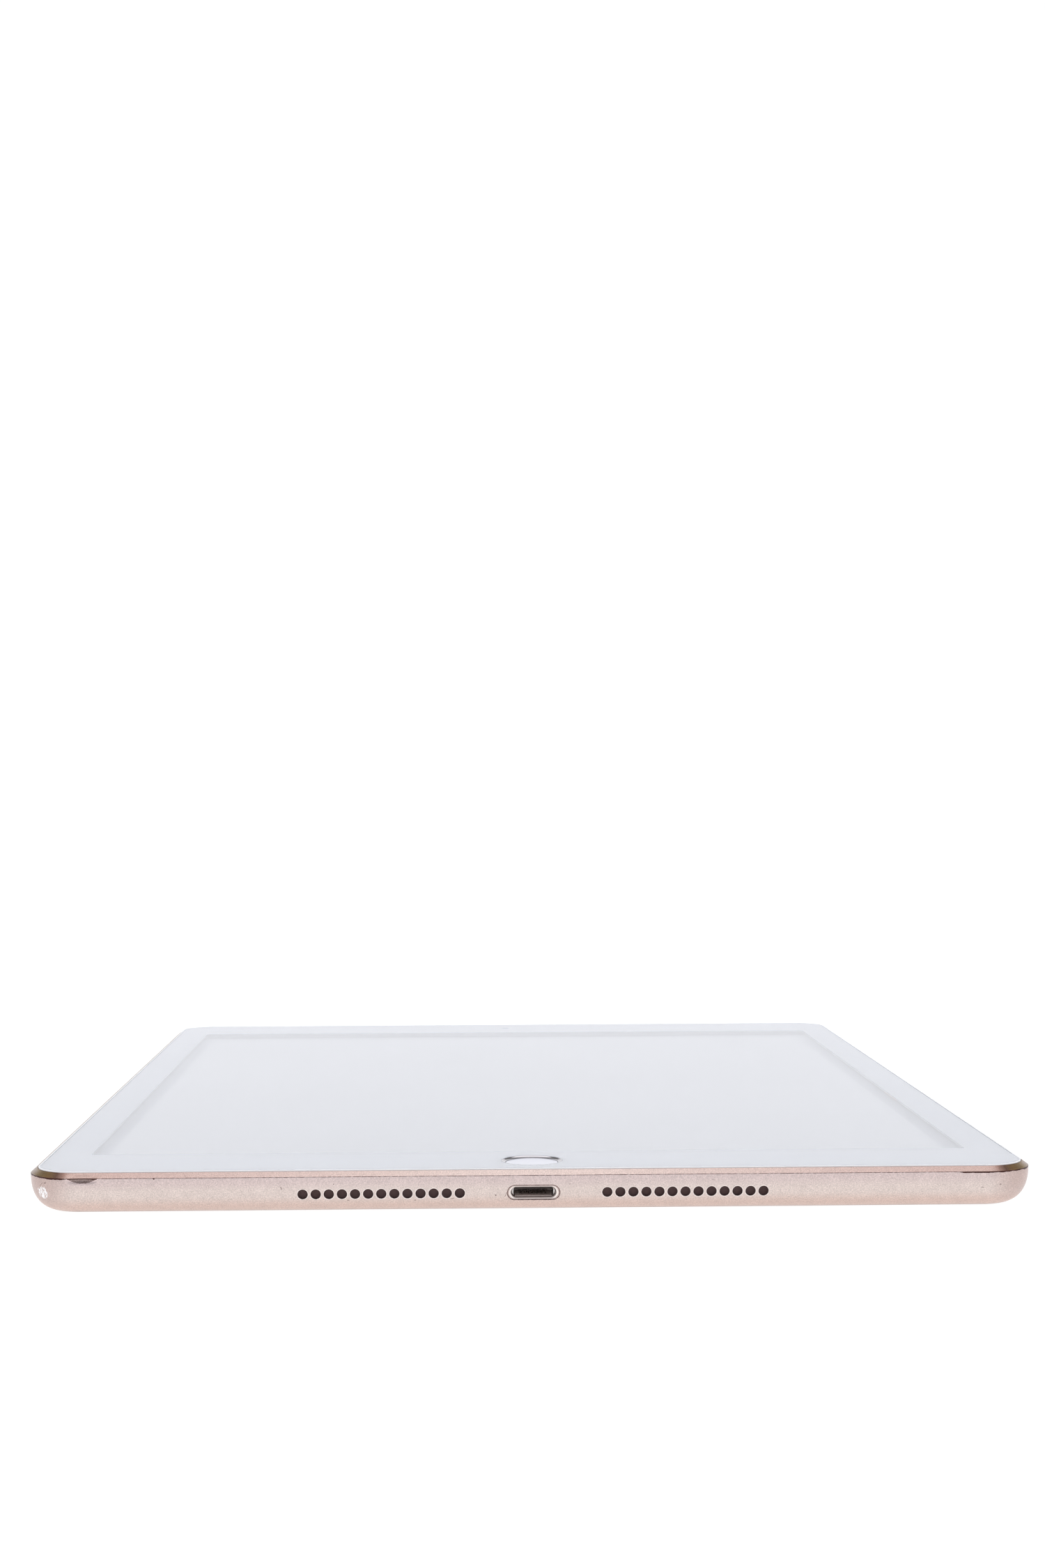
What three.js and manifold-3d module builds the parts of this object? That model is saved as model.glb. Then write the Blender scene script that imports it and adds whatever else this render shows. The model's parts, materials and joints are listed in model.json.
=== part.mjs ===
// A tablet computer as an assembly of separate parts, 250.6 x 174.1 x 7.5 mm.
//
// Units are millimetres. +Z points up out of the display, -Y is the edge with the charging port
// and the loudspeakers, +X is the edge with the volume buttons, and +Y is the edge with the power
// button and the headphone jack. The origin is the centre of the flat back.

import * as THREE from "three";
import { mergeVertices } from "three/addons/utils/BufferGeometryUtils.js";
import Module from "manifold-3d";

const wasm = await Module();
wasm.setup();

// ---------------------------------------------------------------- driving dimensions

const WIDTH = 174.1;
const LENGTH = 250.6;
const THICKNESS = 7.5;
const CORNER_RADIUS = 9;
const HALF_WIDTH = WIDTH / 2;
const HALF_LENGTH = LENGTH / 2;

// The rear case's outer wall is a superellipse from a vertical edge down to the flat back.
const WALL_TOP = 6.45;
const WALL_FOOT = 5.8; // how far in from the outline the flat back starts
const WALL_POWER = 2.4;
const WALL_STEPS = 7;
const RIM_TOP = 7.4; // top of the chamfer round the display
const RIM_INSET = 1.25;
const BACK_WALL = 0.9;

// Levels of the display stack, from the ledge in the case up to the glass.
const LEDGE_INSET = 3.4;
const LEDGE_LOW = 5.6;
const LEDGE_TOP = 6.3;
const GASKET_TOP = 7.45;
const GLASS_LOW = 6.7;
const GLASS_INSET = 1.6;
const PRINT_LOW = 6.58;
const PRINT_HIGH = 6.68;
const WINDOW_HALF_X = 78.4;
const WINDOW_HALF_Y = 104.4;

const LCD_HALF_X = 81;
const LCD_HALF_Y = 107;
const LCD_TRAY_LOW = 3.85;
const LCD_CELL_TOP = 5.45;

// Openings in the edges are all drilled on one level.
const PORT_LEVEL = 3.4;
const HOLE_COUNT = 13; // loudspeaker holes on each side of the charging port
const HOLE_PITCH = 2.24;
const HOLE_FIRST = 12.65; // from the middle of the port to the first hole
const HOLE_RADIUS = 0.875;
const SPEAKER_WALL = 1.45; // depth of the pocket's floor behind the holes, from the outline
const SPEAKER_POCKET = { nearX: 11.2, farX: 41.2, low: 2.3, high: 4.6 };
const PORT_LENGTH = 7.8;
const PORT_HEIGHT = 1.96;
const PORT_MOUTH_LENGTH = 8.96; // where the port's bevel meets the wall
const PORT_MOUTH_HEIGHT = 2.66;
const PORT_LIP_DEPTH = 1.75; // the metal shell sits in a wider bore behind the lip
const PORT_SHELL_LENGTH = 8.4;
const PORT_SHELL_HEIGHT = 2.56;

const HOME_Y = -HALF_LENGTH + 10.4;
const HOME_RADIUS = 5.4; // the hole in the glass
const HOME_RING_OUTER = 5.3;
const HOME_RING_INNER = 4.6;
const HOME_CAP_RADIUS = 4.55;
const HOME_STACK_LOW = 6.5; // underside of the cap and the ring
const HOME_TRAVEL_GAP = 0.35;

const BUTTON_LEVEL = 3.9;
const BUTTON_HEIGHT = 2.4;
const BUTTON_LENGTH = 10;
const BUTTON_PROUD = 0.35; // how far a side button stands out of the wall
const POWER_X = 60;
const VOLUME_UP_Y = 96;
const VOLUME_DOWN_Y = 83;

const CAMERA_X = 74;
const CAMERA_Y = 112.9;
const CAMERA_HOLE_RADIUS = 4.8;
const JACK_X = -72;
const JACK_LEVEL = 3.6;
const JACK_RADIUS = 1.8;

const LCD_SCREW_X = 58;
const LCD_SCREW_Y = 111.5;
const BOARD_LOW = 1.6;
const BOARD_HIGH = 2.4;
const BOARD_SCREWS = [
  [60, -66],
  [60, 96],
];

const FIT_GAP = 0.05; // between pieces that are glued or lie on each other
const JOINED = 0.02; // how far shapes that are joined into one solid run into each other
const CORNER_STEPS = 6;
const ROUND_STEPS = 24;
const SMALL_STEPS = 12;

// ---------------------------------------------------------------- shapes

// A rounded rectangle, counter-clockwise, centred on the origin.
function roundedRect(halfX, halfY, radius, steps = CORNER_STEPS) {
  const corners = [
    [1, -1, -90],
    [1, 1, 0],
    [-1, 1, 90],
    [-1, -1, 180],
  ];
  return corners.flatMap(([sideX, sideY, startAngle]) =>
    Array.from({ length: steps + 1 }, (_, i) => {
      const angle = THREE.MathUtils.degToRad(startAngle + (90 * i) / steps);
      return new THREE.Vector2(
        sideX * (halfX - radius) + radius * Math.cos(angle),
        sideY * (halfY - radius) + radius * Math.sin(angle),
      );
    }),
  );
}

// The tablet's outline, moved inwards by inset.
function outline(inset) {
  return roundedRect(HALF_WIDTH - inset, HALF_LENGTH - inset, CORNER_RADIUS - inset);
}

// A flat plate between two levels, with straight sides and any holes.
function plate(points, low, high, holes = []) {
  const shape = new THREE.Shape(points);
  shape.holes = holes.map((hole) => new THREE.Path([...hole].reverse()));
  const depth = high - low;
  const geometry = new THREE.ExtrudeGeometry(shape, { depth, bevelEnabled: false });
  return geometry.translate(0, 0, low);
}

// A solid through convex outlines stacked from the bottom up. Each ring is { z, points }.
function loft(rings) {
  const count = rings[0].points.length;
  const position = rings.flatMap(({ z, points }) => points.flatMap((p) => [p.x, p.y, z]));
  const index = [];
  for (let ring = 0; ring + 1 < rings.length; ring++) {
    for (let i = 0; i < count; i++) {
      const a = ring * count + i;
      const b = ring * count + ((i + 1) % count);
      index.push(a, b, b + count, a, b + count, a + count);
    }
  }
  const top = (rings.length - 1) * count;
  for (let i = 1; i + 1 < count; i++) {
    index.push(0, i + 1, i);
    index.push(top, top + i, top + i + 1);
  }
  const geometry = new THREE.BufferGeometry();
  geometry.setAttribute("position", new THREE.Float32BufferAttribute(position, 3));
  return geometry.setIndex(index);
}

function block(lowX, highX, lowY, highY, low, high) {
  const geometry = new THREE.BoxGeometry(highX - lowX, highY - lowY, high - low);
  return geometry.translate((lowX + highX) / 2, (lowY + highY) / 2, (low + high) / 2);
}

// The low and high ends of a span on the positive side, or of its mirror image where side is -1.
function mirrored(side, near, far) {
  return side > 0 ? [near, far] : [-far, -near];
}

function circle(radius, x = 0, y = 0, steps = ROUND_STEPS) {
  return Array.from({ length: steps }, (_, i) => {
    const angle = (2 * Math.PI * i) / steps;
    return new THREE.Vector2(x + radius * Math.cos(angle), y + radius * Math.sin(angle));
  });
}

function disc(radius, low, high, x = 0, y = 0, steps = ROUND_STEPS) {
  return plate(circle(radius, x, y, steps), low, high);
}

// A closed profile of [radius, z] points turned about a vertical axis at (x, y).
function turned(profile, x, y, steps = ROUND_STEPS) {
  const points = profile.map(([radius, z]) => new THREE.Vector2(radius, z));
  return new THREE.LatheGeometry([...points, points[0]], steps).rotateX(Math.PI / 2).translate(x, y, 0);
}

// A prism along Y whose section is drawn in X (right) and Z (up).
function alongY(points, lowY, highY, x = 0, z = 0, holes = []) {
  return plate(points, 0, highY - lowY, holes).rotateX(Math.PI / 2).translate(x, highY, z);
}

// A prism along X whose section is drawn in Y (right) and Z (up).
function alongX(points, lowX, highX, y = 0, z = 0, holes = []) {
  const lying = plate(points, 0, highX - lowX, holes).rotateX(Math.PI / 2);
  return lying.rotateZ(Math.PI / 2).translate(lowX, y, z);
}

// A solid whose section changes with depth from the near edge. Each ring is [depth, points].
function inFromNearEdge(x, z, ...rings) {
  const lying = loft(rings.map(([depth, points]) => ({ z: depth, points }))).rotateX(-Math.PI / 2);
  return lying.translate(x, -HALF_LENGTH, z);
}

function stadium(length, height, steps = SMALL_STEPS / 2) {
  return roundedRect(length / 2, height / 2, height / 2, steps);
}

// A strip of constant thickness along a path of [u, v] points, as a closed outline.
function ribbon(path, thickness) {
  const points = path.map(([u, v]) => new THREE.Vector2(u, v));
  const sideways = points.map((point, i) => {
    const back = point.clone().sub(points[Math.max(i - 1, 0)]).normalize();
    const ahead = points[Math.min(i + 1, points.length - 1)].clone().sub(point).normalize();
    const along = back.clone().add(ahead).normalize();
    const reach = i === 0 || i === points.length - 1 ? 1 : 1 / Math.max(along.dot(ahead), 0.3);
    return new THREE.Vector2(-along.y, along.x).multiplyScalar((reach * thickness) / 2);
  });
  const left = points.map((point, i) => point.clone().add(sideways[i]));
  const right = points.map((point, i) => point.clone().sub(sideways[i]));
  return [...right, ...left.reverse()];
}

// ---------------------------------------------------------------- joining and cutting

const WELD = 1e-4;

function solidOf(geometry) {
  const bare = new THREE.BufferGeometry();
  bare.setAttribute("position", geometry.getAttribute("position"));
  bare.setIndex(geometry.index);
  const welded = mergeVertices(bare, WELD);
  const triVerts = new Uint32Array(welded.index.array);
  const vertProperties = welded.attributes.position.array;
  return new wasm.Manifold(new wasm.Mesh({ numProp: 3, vertProperties, triVerts }));
}

function geometryOf(solid) {
  const mesh = solid.getMesh();
  const geometry = new THREE.BufferGeometry();
  geometry.setAttribute("position", new THREE.BufferAttribute(mesh.vertProperties, 3));
  geometry.setIndex(new THREE.BufferAttribute(mesh.triVerts, 1));
  return geometry;
}

function join(...geometries) {
  return geometryOf(geometries.map(solidOf).reduce((whole, piece) => whole.add(piece)));
}

function cut(base, ...tools) {
  return geometryOf(tools.map(solidOf).reduce((left, tool) => left.subtract(tool), solidOf(base)));
}

function common(one, other) {
  return geometryOf(solidOf(one).intersect(solidOf(other)));
}

// ---------------------------------------------------------------- materials

const finishes = {
  case_aluminium: [0xe0bfb2, 0.42, 1],
  white_plastic: [0xf1f2f4, 0.35, 0],
  clear_glass: [0xeef2f5, 0.03, 0],
  white_print: [0xe9ebef, 0.3, 0],
  touch_film: [0xe8edf2, 0.1, 0],
  black_adhesive: [0x26272a, 0.8, 0],
  display_surface: [0xdfe1e6, 0.25, 0],
  grey_foam: [0x9a9ca1, 0.8, 0],
  diffuser_plastic: [0xf4f5f2, 0.5, 0],
  steel: [0xb9bbbf, 0.35, 1],
  polyimide_flex: [0xb4672a, 0.45, 0],
  button_ceramic: [0xf2f3f6, 0.15, 0],
  chip_black: [0x1d1e20, 0.45, 0],
  board_green: [0x1c3b33, 0.5, 0],
  battery_wrap: [0x2b2c2f, 0.55, 0],
  black_plastic: [0x1f2022, 0.5, 0],
  speaker_mesh: [0x4a3f40, 0.7, 1],
  gold_contact: [0xcfa75a, 0.25, 1],
  rubber: [0x303134, 0.85, 0],
  lens_glass: [0x11131a, 0.05, 0],
};

const materials = Object.fromEntries(
  Object.entries(finishes).map(([name, [color, roughness, metalness]]) => [
    name,
    new THREE.MeshStandardMaterial({ name, color, roughness, metalness }),
  ]),
);

const tablet = new THREE.Group();

function add(name, finish, geometry) {
  const mesh = new THREE.Mesh(geometry, materials[finish]);
  mesh.name = name;
  tablet.add(mesh);
}

// ---------------------------------------------------------------- rear case

// The outer surface, grown outwards by proud for the faces of the side buttons.
function caseEnvelope(proud = 0) {
  const wall = Array.from({ length: WALL_STEPS + 1 }, (_, i) => {
    const angle = (Math.PI / 2) * (1 - i / WALL_STEPS);
    const fall = Math.sin(angle) ** (2 / WALL_POWER);
    const inwards = 1 - Math.cos(angle) ** (2 / WALL_POWER);
    return { z: WALL_TOP * (1 - fall), points: outline(WALL_FOOT * inwards - proud) };
  });
  return loft([...wall, { z: RIM_TOP, points: outline(RIM_INSET - proud) }]);
}

function speakerHoleCentres(side) {
  return Array.from({ length: HOLE_COUNT }, (_, i) => side * (HOLE_FIRST + i * HOLE_PITCH));
}

function edgeHole(radius, x, level, lowY, highY) {
  return alongY(circle(radius, 0, 0, SMALL_STEPS), lowY, highY, x, level);
}

function buttonHole(grow) {
  return stadium(BUTTON_LENGTH + 2 * grow, BUTTON_HEIGHT + 2 * grow);
}

function rearCase() {
  const cavity = loft([
    { z: BACK_WALL, points: outline(5.2) },
    { z: 1.6, points: outline(3.3) },
    { z: 3, points: outline(2.2) },
    { z: LEDGE_LOW, points: outline(2) },
  ]);
  const ledgeWindow = plate(outline(LEDGE_INSET), LEDGE_LOW - 1, LEDGE_TOP + 1);
  const glassPocket = plate(outline(RIM_INSET), LEDGE_TOP, THICKNESS + 1);
  const shell = cut(caseEnvelope(), cavity, ledgeWindow, glassPocket);

  const bosses = (places, radius, top) =>
    places.map(([x, y]) => disc(radius, BACK_WALL - JOINED, top, x, y, SMALL_STEPS));
  const lcdBosses = bosses(lcdScrewPlaces(), 2.4, LCD_TRAY_LOW - 0.1);
  const boardBosses = bosses(BOARD_SCREWS, 1.6, BOARD_LOW - FIT_GAP);
  const withBosses = join(shell, ...lcdBosses, ...boardBosses);

  const nearY = -HALF_LENGTH - 1;
  const farY = HALF_LENGTH + 1;
  const speakerHoles = [-1, 1].flatMap((side) =>
    speakerHoleCentres(side).map((x) => edgeHole(HOLE_RADIUS, x, PORT_LEVEL, nearY, nearY + 5)),
  );
  const { nearX, farX, low, high } = SPEAKER_POCKET;
  const speakerPockets = [-1, 1].map((side) =>
    block(...mirrored(side, nearX, farX), -HALF_LENGTH + SPEAKER_WALL, -HALF_LENGTH + 4, low, high),
  );
  const portMouth = stadium(PORT_MOUTH_LENGTH, PORT_MOUTH_HEIGHT);
  const portThroat = stadium(PORT_LENGTH, PORT_HEIGHT);
  const portBore = portShellOutline(FIT_GAP);
  const port = join(
    inFromNearEdge(0, PORT_LEVEL, [-1, portMouth], [0.55, portMouth], [1, portThroat], [5, portThroat]),
    inFromNearEdge(0, PORT_LEVEL, [PORT_LIP_DEPTH, portBore], [5, portBore]),
  );
  const volumeSlots = [VOLUME_UP_Y, VOLUME_DOWN_Y].map((y) =>
    alongX(buttonHole(0.1), HALF_WIDTH - 4, HALF_WIDTH + 1, y, BUTTON_LEVEL),
  );
  const powerSlot = alongY(buttonHole(0.1), farY - 5, farY, POWER_X, BUTTON_LEVEL);
  const jackHole = alongY(circle(JACK_RADIUS, 0, 0, 20), farY - 6, farY, JACK_X, JACK_LEVEL);
  const topMicrophone = edgeHole(0.5, 0, PORT_LEVEL, farY - 6, farY);
  const rearMicrophone = disc(0.5, -1, BACK_WALL + 1, CAMERA_X - 8.2, CAMERA_Y, SMALL_STEPS);
  const cameraHole = disc(CAMERA_HOLE_RADIUS, -1, BACK_WALL + 1, CAMERA_X, CAMERA_Y);
  const lcdThreads = lcdScrewPlaces().map(([x, y]) => disc(0.55, 1.7, 4, x, y, SMALL_STEPS));
  const boardThreads = BOARD_SCREWS.map(([x, y]) => disc(0.55, BACK_WALL, 2, x, y, SMALL_STEPS));
  return cut(
    withBosses,
    ...speakerHoles,
    ...speakerPockets,
    port,
    ...volumeSlots,
    powerSlot,
    jackHole,
    topMicrophone,
    rearMicrophone,
    cameraHole,
    ...lcdThreads,
    ...boardThreads,
  );
}

function lcdScrewPlaces() {
  return [-1, 1].flatMap((sideY) => [-1, 1].map((sideX) => [sideX * LCD_SCREW_X, sideY * LCD_SCREW_Y]));
}

function portShellOutline(grow) {
  return stadium(PORT_SHELL_LENGTH + 2 * grow, PORT_SHELL_HEIGHT + 2 * grow);
}

add("rear_case", "case_aluminium", rearCase());

// ---------------------------------------------------------------- glass, border and touch layer

const homeHole = circle(HOME_RADIUS, 0, HOME_Y);
const windowOutline = roundedRect(WINDOW_HALF_X, WINDOW_HALF_Y, 0.5, 2);
const FRONT_CAMERA_Y = HALF_LENGTH - 10.4;
const frontCameraHole = circle(1, 0, FRONT_CAMERA_Y, SMALL_STEPS);

add("cover_glass", "clear_glass", plate(outline(GLASS_INSET), GLASS_LOW, THICKNESS, [homeHole]));

add(
  "border_print",
  "white_print",
  plate(outline(GLASS_INSET + 0.1), PRINT_LOW, PRINT_HIGH, [windowOutline, homeHole, frontCameraHole]),
);

// An L-shaped ring: an upright lip round the glass and a flange under its edge.
function bezelGasket() {
  const flangeTop = PRINT_LOW - FIT_GAP;
  const ring = plate(outline(RIM_INSET + FIT_GAP), flangeTop - 0.1, GASKET_TOP);
  const glassSeat = plate(outline(GLASS_INSET - FIT_GAP), flangeTop, THICKNESS);
  const opening = plate(outline(LEDGE_INSET - 0.4), LEDGE_LOW, THICKNESS);
  return cut(ring, glassSeat, opening);
}

add("bezel_gasket", "white_plastic", bezelGasket());

add(
  "display_adhesive",
  "black_adhesive",
  plate(outline(RIM_INSET + 0.3), LEDGE_TOP + 0.02, PRINT_LOW - FIT_GAP - 0.12, [outline(LEDGE_INSET)]),
);

const TOUCH_HALF_X = 79.3;
const TOUCH_HALF_Y = 105.3;
const TOUCH_LOW = 6.38;
add(
  "touch_sensor",
  "touch_film",
  block(-TOUCH_HALF_X, TOUCH_HALF_X, -TOUCH_HALF_Y, TOUCH_HALF_Y, TOUCH_LOW, PRINT_LOW - FIT_GAP),
);

// It leaves the touch layer, passes the edge of the display module and turns in to the board.
const touchFlexPath = [
  [78.5, TOUCH_LOW - 0.15],
  [83, TOUCH_LOW - 0.15],
  [83, 2.85],
  [79, 2.85],
];
add("touch_flex_cable", "polyimide_flex", alongY(ribbon(touchFlexPath, 0.15), -34, -20));

// ---------------------------------------------------------------- display module

function lcdFrame() {
  const halfX = LCD_HALF_X + 0.8;
  const halfY = LCD_HALF_Y + 0.8;
  const tray = block(-halfX, halfX, -halfY, halfY, LCD_TRAY_LOW, LCD_CELL_TOP - 0.1);
  const earTop = LCD_TRAY_LOW + 0.25;
  const ears = lcdScrewPlaces().map(([x, y]) => {
    const reach = mirrored(Math.sign(y), halfY - 1, LCD_SCREW_Y + 2.6);
    return block(x - 3, x + 3, ...reach, LCD_TRAY_LOW, earTop);
  });
  const hollow = block(
    -LCD_HALF_X - 0.4,
    LCD_HALF_X + 0.4,
    -LCD_HALF_Y - 0.4,
    LCD_HALF_Y + 0.4,
    LCD_TRAY_LOW + 0.2,
    THICKNESS,
  );
  const screwHoles = lcdScrewPlaces().map(([x, y]) => disc(0.7, 3, 5, x, y, SMALL_STEPS));
  return cut(join(tray, ...ears), hollow, ...screwHoles);
}

add("lcd_frame", "steel", lcdFrame());
add(
  "lcd_backlight",
  "diffuser_plastic",
  block(-LCD_HALF_X, LCD_HALF_X, -LCD_HALF_Y, LCD_HALF_Y, LCD_TRAY_LOW + 0.25, 4.9),
);
add(
  "lcd_cell",
  "display_surface",
  block(-LCD_HALF_X, LCD_HALF_X, -LCD_HALF_Y, LCD_HALF_Y, 4.95, LCD_CELL_TOP),
);

// A foam frame that closes the gap between the display and the glass, notched for the touch cable.
function lcdFoam() {
  const outer = roundedRect(80.8, 106.8, 0.5, 1);
  const inner = roundedRect(79.5, 105.5, 0.1, 1);
  const ring = plate(outer, LCD_CELL_TOP + FIT_GAP, PRINT_LOW - FIT_GAP, [inner]);
  return cut(ring, block(79, 82, -36, -18, TOUCH_LOW - 0.3, THICKNESS));
}

add("lcd_foam", "grey_foam", lcdFoam());

const lcdFlexPath = [
  [64, 3.7],
  [73, 3.7],
  [76, 2.85],
  [80, 2.85],
];
add("lcd_flex_cable", "polyimide_flex", alongY(ribbon(lcdFlexPath, 0.15), -58, -40));

// A screw with its underside at level, its cross recess cut in the head.
function screw(x, y, level, headRadius, headHeight, shankLow) {
  const shank = 0.45;
  const body = turned(
    [
      [0, shankLow],
      [shank, shankLow + 0.15],
      [shank, level],
      [headRadius, level],
      [headRadius, level + headHeight],
      [0, level + headHeight],
    ],
    x,
    y,
    SMALL_STEPS,
  );
  const slots = [
    [0.7, 0.15],
    [0.15, 0.7],
  ].map(([halfX, halfY]) =>
    block(x - halfX, x + halfX, y - halfY, y + halfY, level + headHeight / 2, level + headHeight + 1),
  );
  return cut(body, ...slots);
}

lcdScrewPlaces().forEach(([x, y], i) => {
  const level = LCD_TRAY_LOW + 0.25 + FIT_GAP;
  add(`lcd_screw_${i + 1}`, "steel", screw(x, y, level, 1.3, 0.5, 1.8));
});

// ---------------------------------------------------------------- home button

const HOME_BASE_LOW = 5.95;
const HOME_NUB_LOW = HOME_BASE_LOW - 0.2;
const HOME_SWITCH_TOP = HOME_NUB_LOW - HOME_TRAVEL_GAP;

// The cap's touch surface is a shallow dish.
add(
  "home_button_cap",
  "button_ceramic",
  turned(
    [
      [0, HOME_STACK_LOW],
      [HOME_CAP_RADIUS, HOME_STACK_LOW],
      [HOME_CAP_RADIUS, 7.15],
      [3.2, 7.1],
      [0, 7.08],
    ],
    0,
    HOME_Y,
  ),
);
add(
  "home_button_ring",
  "steel",
  turned(
    [
      [HOME_RING_INNER, HOME_STACK_LOW],
      [HOME_RING_OUTER, HOME_STACK_LOW],
      [HOME_RING_OUTER, 7.38],
      [5.2, 7.42],
      [HOME_RING_INNER, 7.15],
    ],
    0,
    HOME_Y,
  ),
);
add("home_button_sensor", "chip_black", disc(4.4, 6.2, 6.45, 0, HOME_Y));
add(
  "home_button_base",
  "steel",
  turned(
    [
      [0, HOME_NUB_LOW],
      [1, HOME_NUB_LOW],
      [1, HOME_BASE_LOW],
      [5.9, HOME_BASE_LOW],
      [5.9, 6.15],
      [0, 6.15],
    ],
    0,
    HOME_Y,
  ),
);
add(
  "home_button_gasket",
  "rubber",
  turned(
    [
      [6.05, 6],
      [6.8, 6],
      [6.8, PRINT_LOW - FIT_GAP],
      [6.05, PRINT_LOW - FIT_GAP],
    ],
    0,
    HOME_Y,
  ),
);

// A low metal dome on a square base.
add(
  "home_button_switch",
  "steel",
  join(
    block(-2.6, 2.6, HOME_Y - 2.6, HOME_Y + 2.6, 4.95, 5.2),
    turned(
      [
        [0, 5.1],
        [1.9, 5.1],
        [1.5, 5.3],
        [0, HOME_SWITCH_TOP],
      ],
      0,
      HOME_Y,
      16,
    ),
  ),
);

// A bridge that hangs from the glass on two wings and carries the switch.
const bracketPath = [
  [-13, 6.4],
  [-9, 6.4],
  [-9, 4.8],
  [9, 4.8],
  [9, 6.4],
  [13, 6.4],
];
add("home_button_bracket", "steel", alongY(ribbon(bracketPath, 0.2), HOME_Y - 4, HOME_Y + 4));

// It runs back from the switch and folds down in front of the display module.
const homeFlexPath = [
  [HOME_Y + 2.8, 5.05],
  [-108.4, 5.05],
  [-108.4, 1.4],
  [-104, 1.4],
];
add("home_button_flex", "polyimide_flex", alongX(ribbon(homeFlexPath, 0.12), -2, 2));

// ---------------------------------------------------------------- side buttons and switches

// A button's face follows the curved wall, and its flange holds it behind the wall.
// Each depth is measured inwards from the tablet's outline.
const FLANGE_OUTER = 2.85;
const FLANGE_INNER = 3.35;
const NUB_INNER = 3.85;
const SWITCH_FACE = 4.2;

// place draws a prism with a section of points between two depths.
function sideButton(place) {
  const face = common(place(buttonHole(0), FLANGE_OUTER + JOINED, -1), caseEnvelope(BUTTON_PROUD));
  const flange = place(stadium(BUTTON_LENGTH + 1.6, BUTTON_HEIGHT + 0.6), FLANGE_INNER, FLANGE_OUTER);
  const nub = place(stadium(3, 1), NUB_INNER, FLANGE_INNER - JOINED);
  return join(face, flange, nub);
}

const onFarEdge = (points, inner, outer) =>
  alongY(points, HALF_LENGTH - inner, HALF_LENGTH - outer, POWER_X, BUTTON_LEVEL);
const onRightEdge = (y) => (points, inner, outer) =>
  alongX(points, HALF_WIDTH - inner, HALF_WIDTH - outer, y, BUTTON_LEVEL);

add("power_button", "case_aluminium", sideButton(onFarEdge));
add("volume_up_button", "case_aluminium", sideButton(onRightEdge(VOLUME_UP_Y)));
add("volume_down_button", "case_aluminium", sideButton(onRightEdge(VOLUME_DOWN_Y)));

// The switches stand just behind the buttons' nubs, clear of their travel.
const SWITCH_BASE = SWITCH_FACE + 0.25;
const switchDome = (place) => place(stadium(2.4, 1.2), SWITCH_BASE + JOINED, SWITCH_FACE);

function powerSwitch() {
  const baseY = HALF_LENGTH - SWITCH_BASE;
  return join(switchDome(onFarEdge), block(POWER_X - 4, POWER_X + 4, baseY - 0.8, baseY, 2.4, 5.4));
}

function volumeSwitchBoard() {
  const baseX = HALF_WIDTH - SWITCH_BASE;
  const domes = [VOLUME_UP_Y, VOLUME_DOWN_Y].map((y) => switchDome(onRightEdge(y)));
  return join(...domes, block(baseX - 0.6, baseX, VOLUME_DOWN_Y - 5, VOLUME_UP_Y + 5, 2.6, 5.4));
}

add("power_switch", "black_plastic", powerSwitch());
add("volume_switch_board", "board_green", volumeSwitchBoard());

// Flat on the floor of the case, along the right edge and round the corner to the power switch.
const buttonFlexPath = [
  [80.5, 78],
  [80.5, 115],
  [76.5, 119],
  [56, 119],
];
add("button_flex_cable", "polyimide_flex", plate(ribbon(buttonFlexPath, 2), 1, 1.12));

// ---------------------------------------------------------------- logic board

function logicBoard() {
  const outlinePoints = [
    [57, -70],
    [81, -70],
    [81, 100],
    [57, 100],
    [57, 84],
    [62, 80],
    [62, -6],
    [57, -10],
  ].map(([x, y]) => new THREE.Vector2(x, y));
  const holes = BOARD_SCREWS.map(([x, y]) => circle(0.7, x, y, SMALL_STEPS));
  return plate(outlinePoints, BOARD_LOW, BOARD_HIGH, holes);
}

add("logic_board", "board_green", logicBoard());

const CHIP_LOW = BOARD_HIGH + FIT_GAP;
function chip(x, y, sizeX, sizeY, height) {
  return block(x - sizeX / 2, x + sizeX / 2, y - sizeY / 2, y + sizeY / 2, CHIP_LOW, CHIP_LOW + height);
}

add("processor_chip", "chip_black", chip(71.5, 40, 14, 14, 0.7));
add("flash_memory_chip", "chip_black", chip(71.5, 58, 12, 14, 0.7));
add("power_chip", "chip_black", chip(71.5, 22, 9, 9, 0.6));
add("wireless_module", "steel", chip(72, 88, 12, 10, 0.9));

const SHIELD_TOP = CHIP_LOW + 1.05;
add(
  "board_shield",
  "steel",
  cut(
    block(63, 80, 14, 70, CHIP_LOW, SHIELD_TOP),
    block(63.15, 79.85, 14.15, 69.85, CHIP_LOW - 1, SHIELD_TOP - 0.15),
  ),
);

BOARD_SCREWS.forEach(([x, y], i) => {
  add(`board_screw_${i + 1}`, "steel", screw(x, y, CHIP_LOW, 1.2, 0.4, BACK_WALL + 0.05));
});

// ---------------------------------------------------------------- battery

const CELL_LOW = 1.05;
const CELL_HIGH = 3.65;
const CELL_HALF_X = 32.8;
const CELL_HALF_Y = 88;
const CELL_Y = -8;

function batteryCell(x) {
  const points = roundedRect(CELL_HALF_X, CELL_HALF_Y, 2.5, 3);
  return plate(points, CELL_LOW, CELL_HIGH).translate(x, CELL_Y, 0);
}

add("battery_cell_left", "battery_wrap", batteryCell(-47));
add("battery_cell_right", "battery_wrap", batteryCell(21));
add("battery_control_board", "board_green", block(-40, 30, 81, 87, 1.4, 2.6));

const batteryLeadPath = [
  [31, 84],
  [48, 84],
  [48, 91],
  [56, 91],
];
add("battery_lead", "polyimide_flex", plate(ribbon(batteryLeadPath, 4), 1.9, 2.05));

// ---------------------------------------------------------------- charging port

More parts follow.
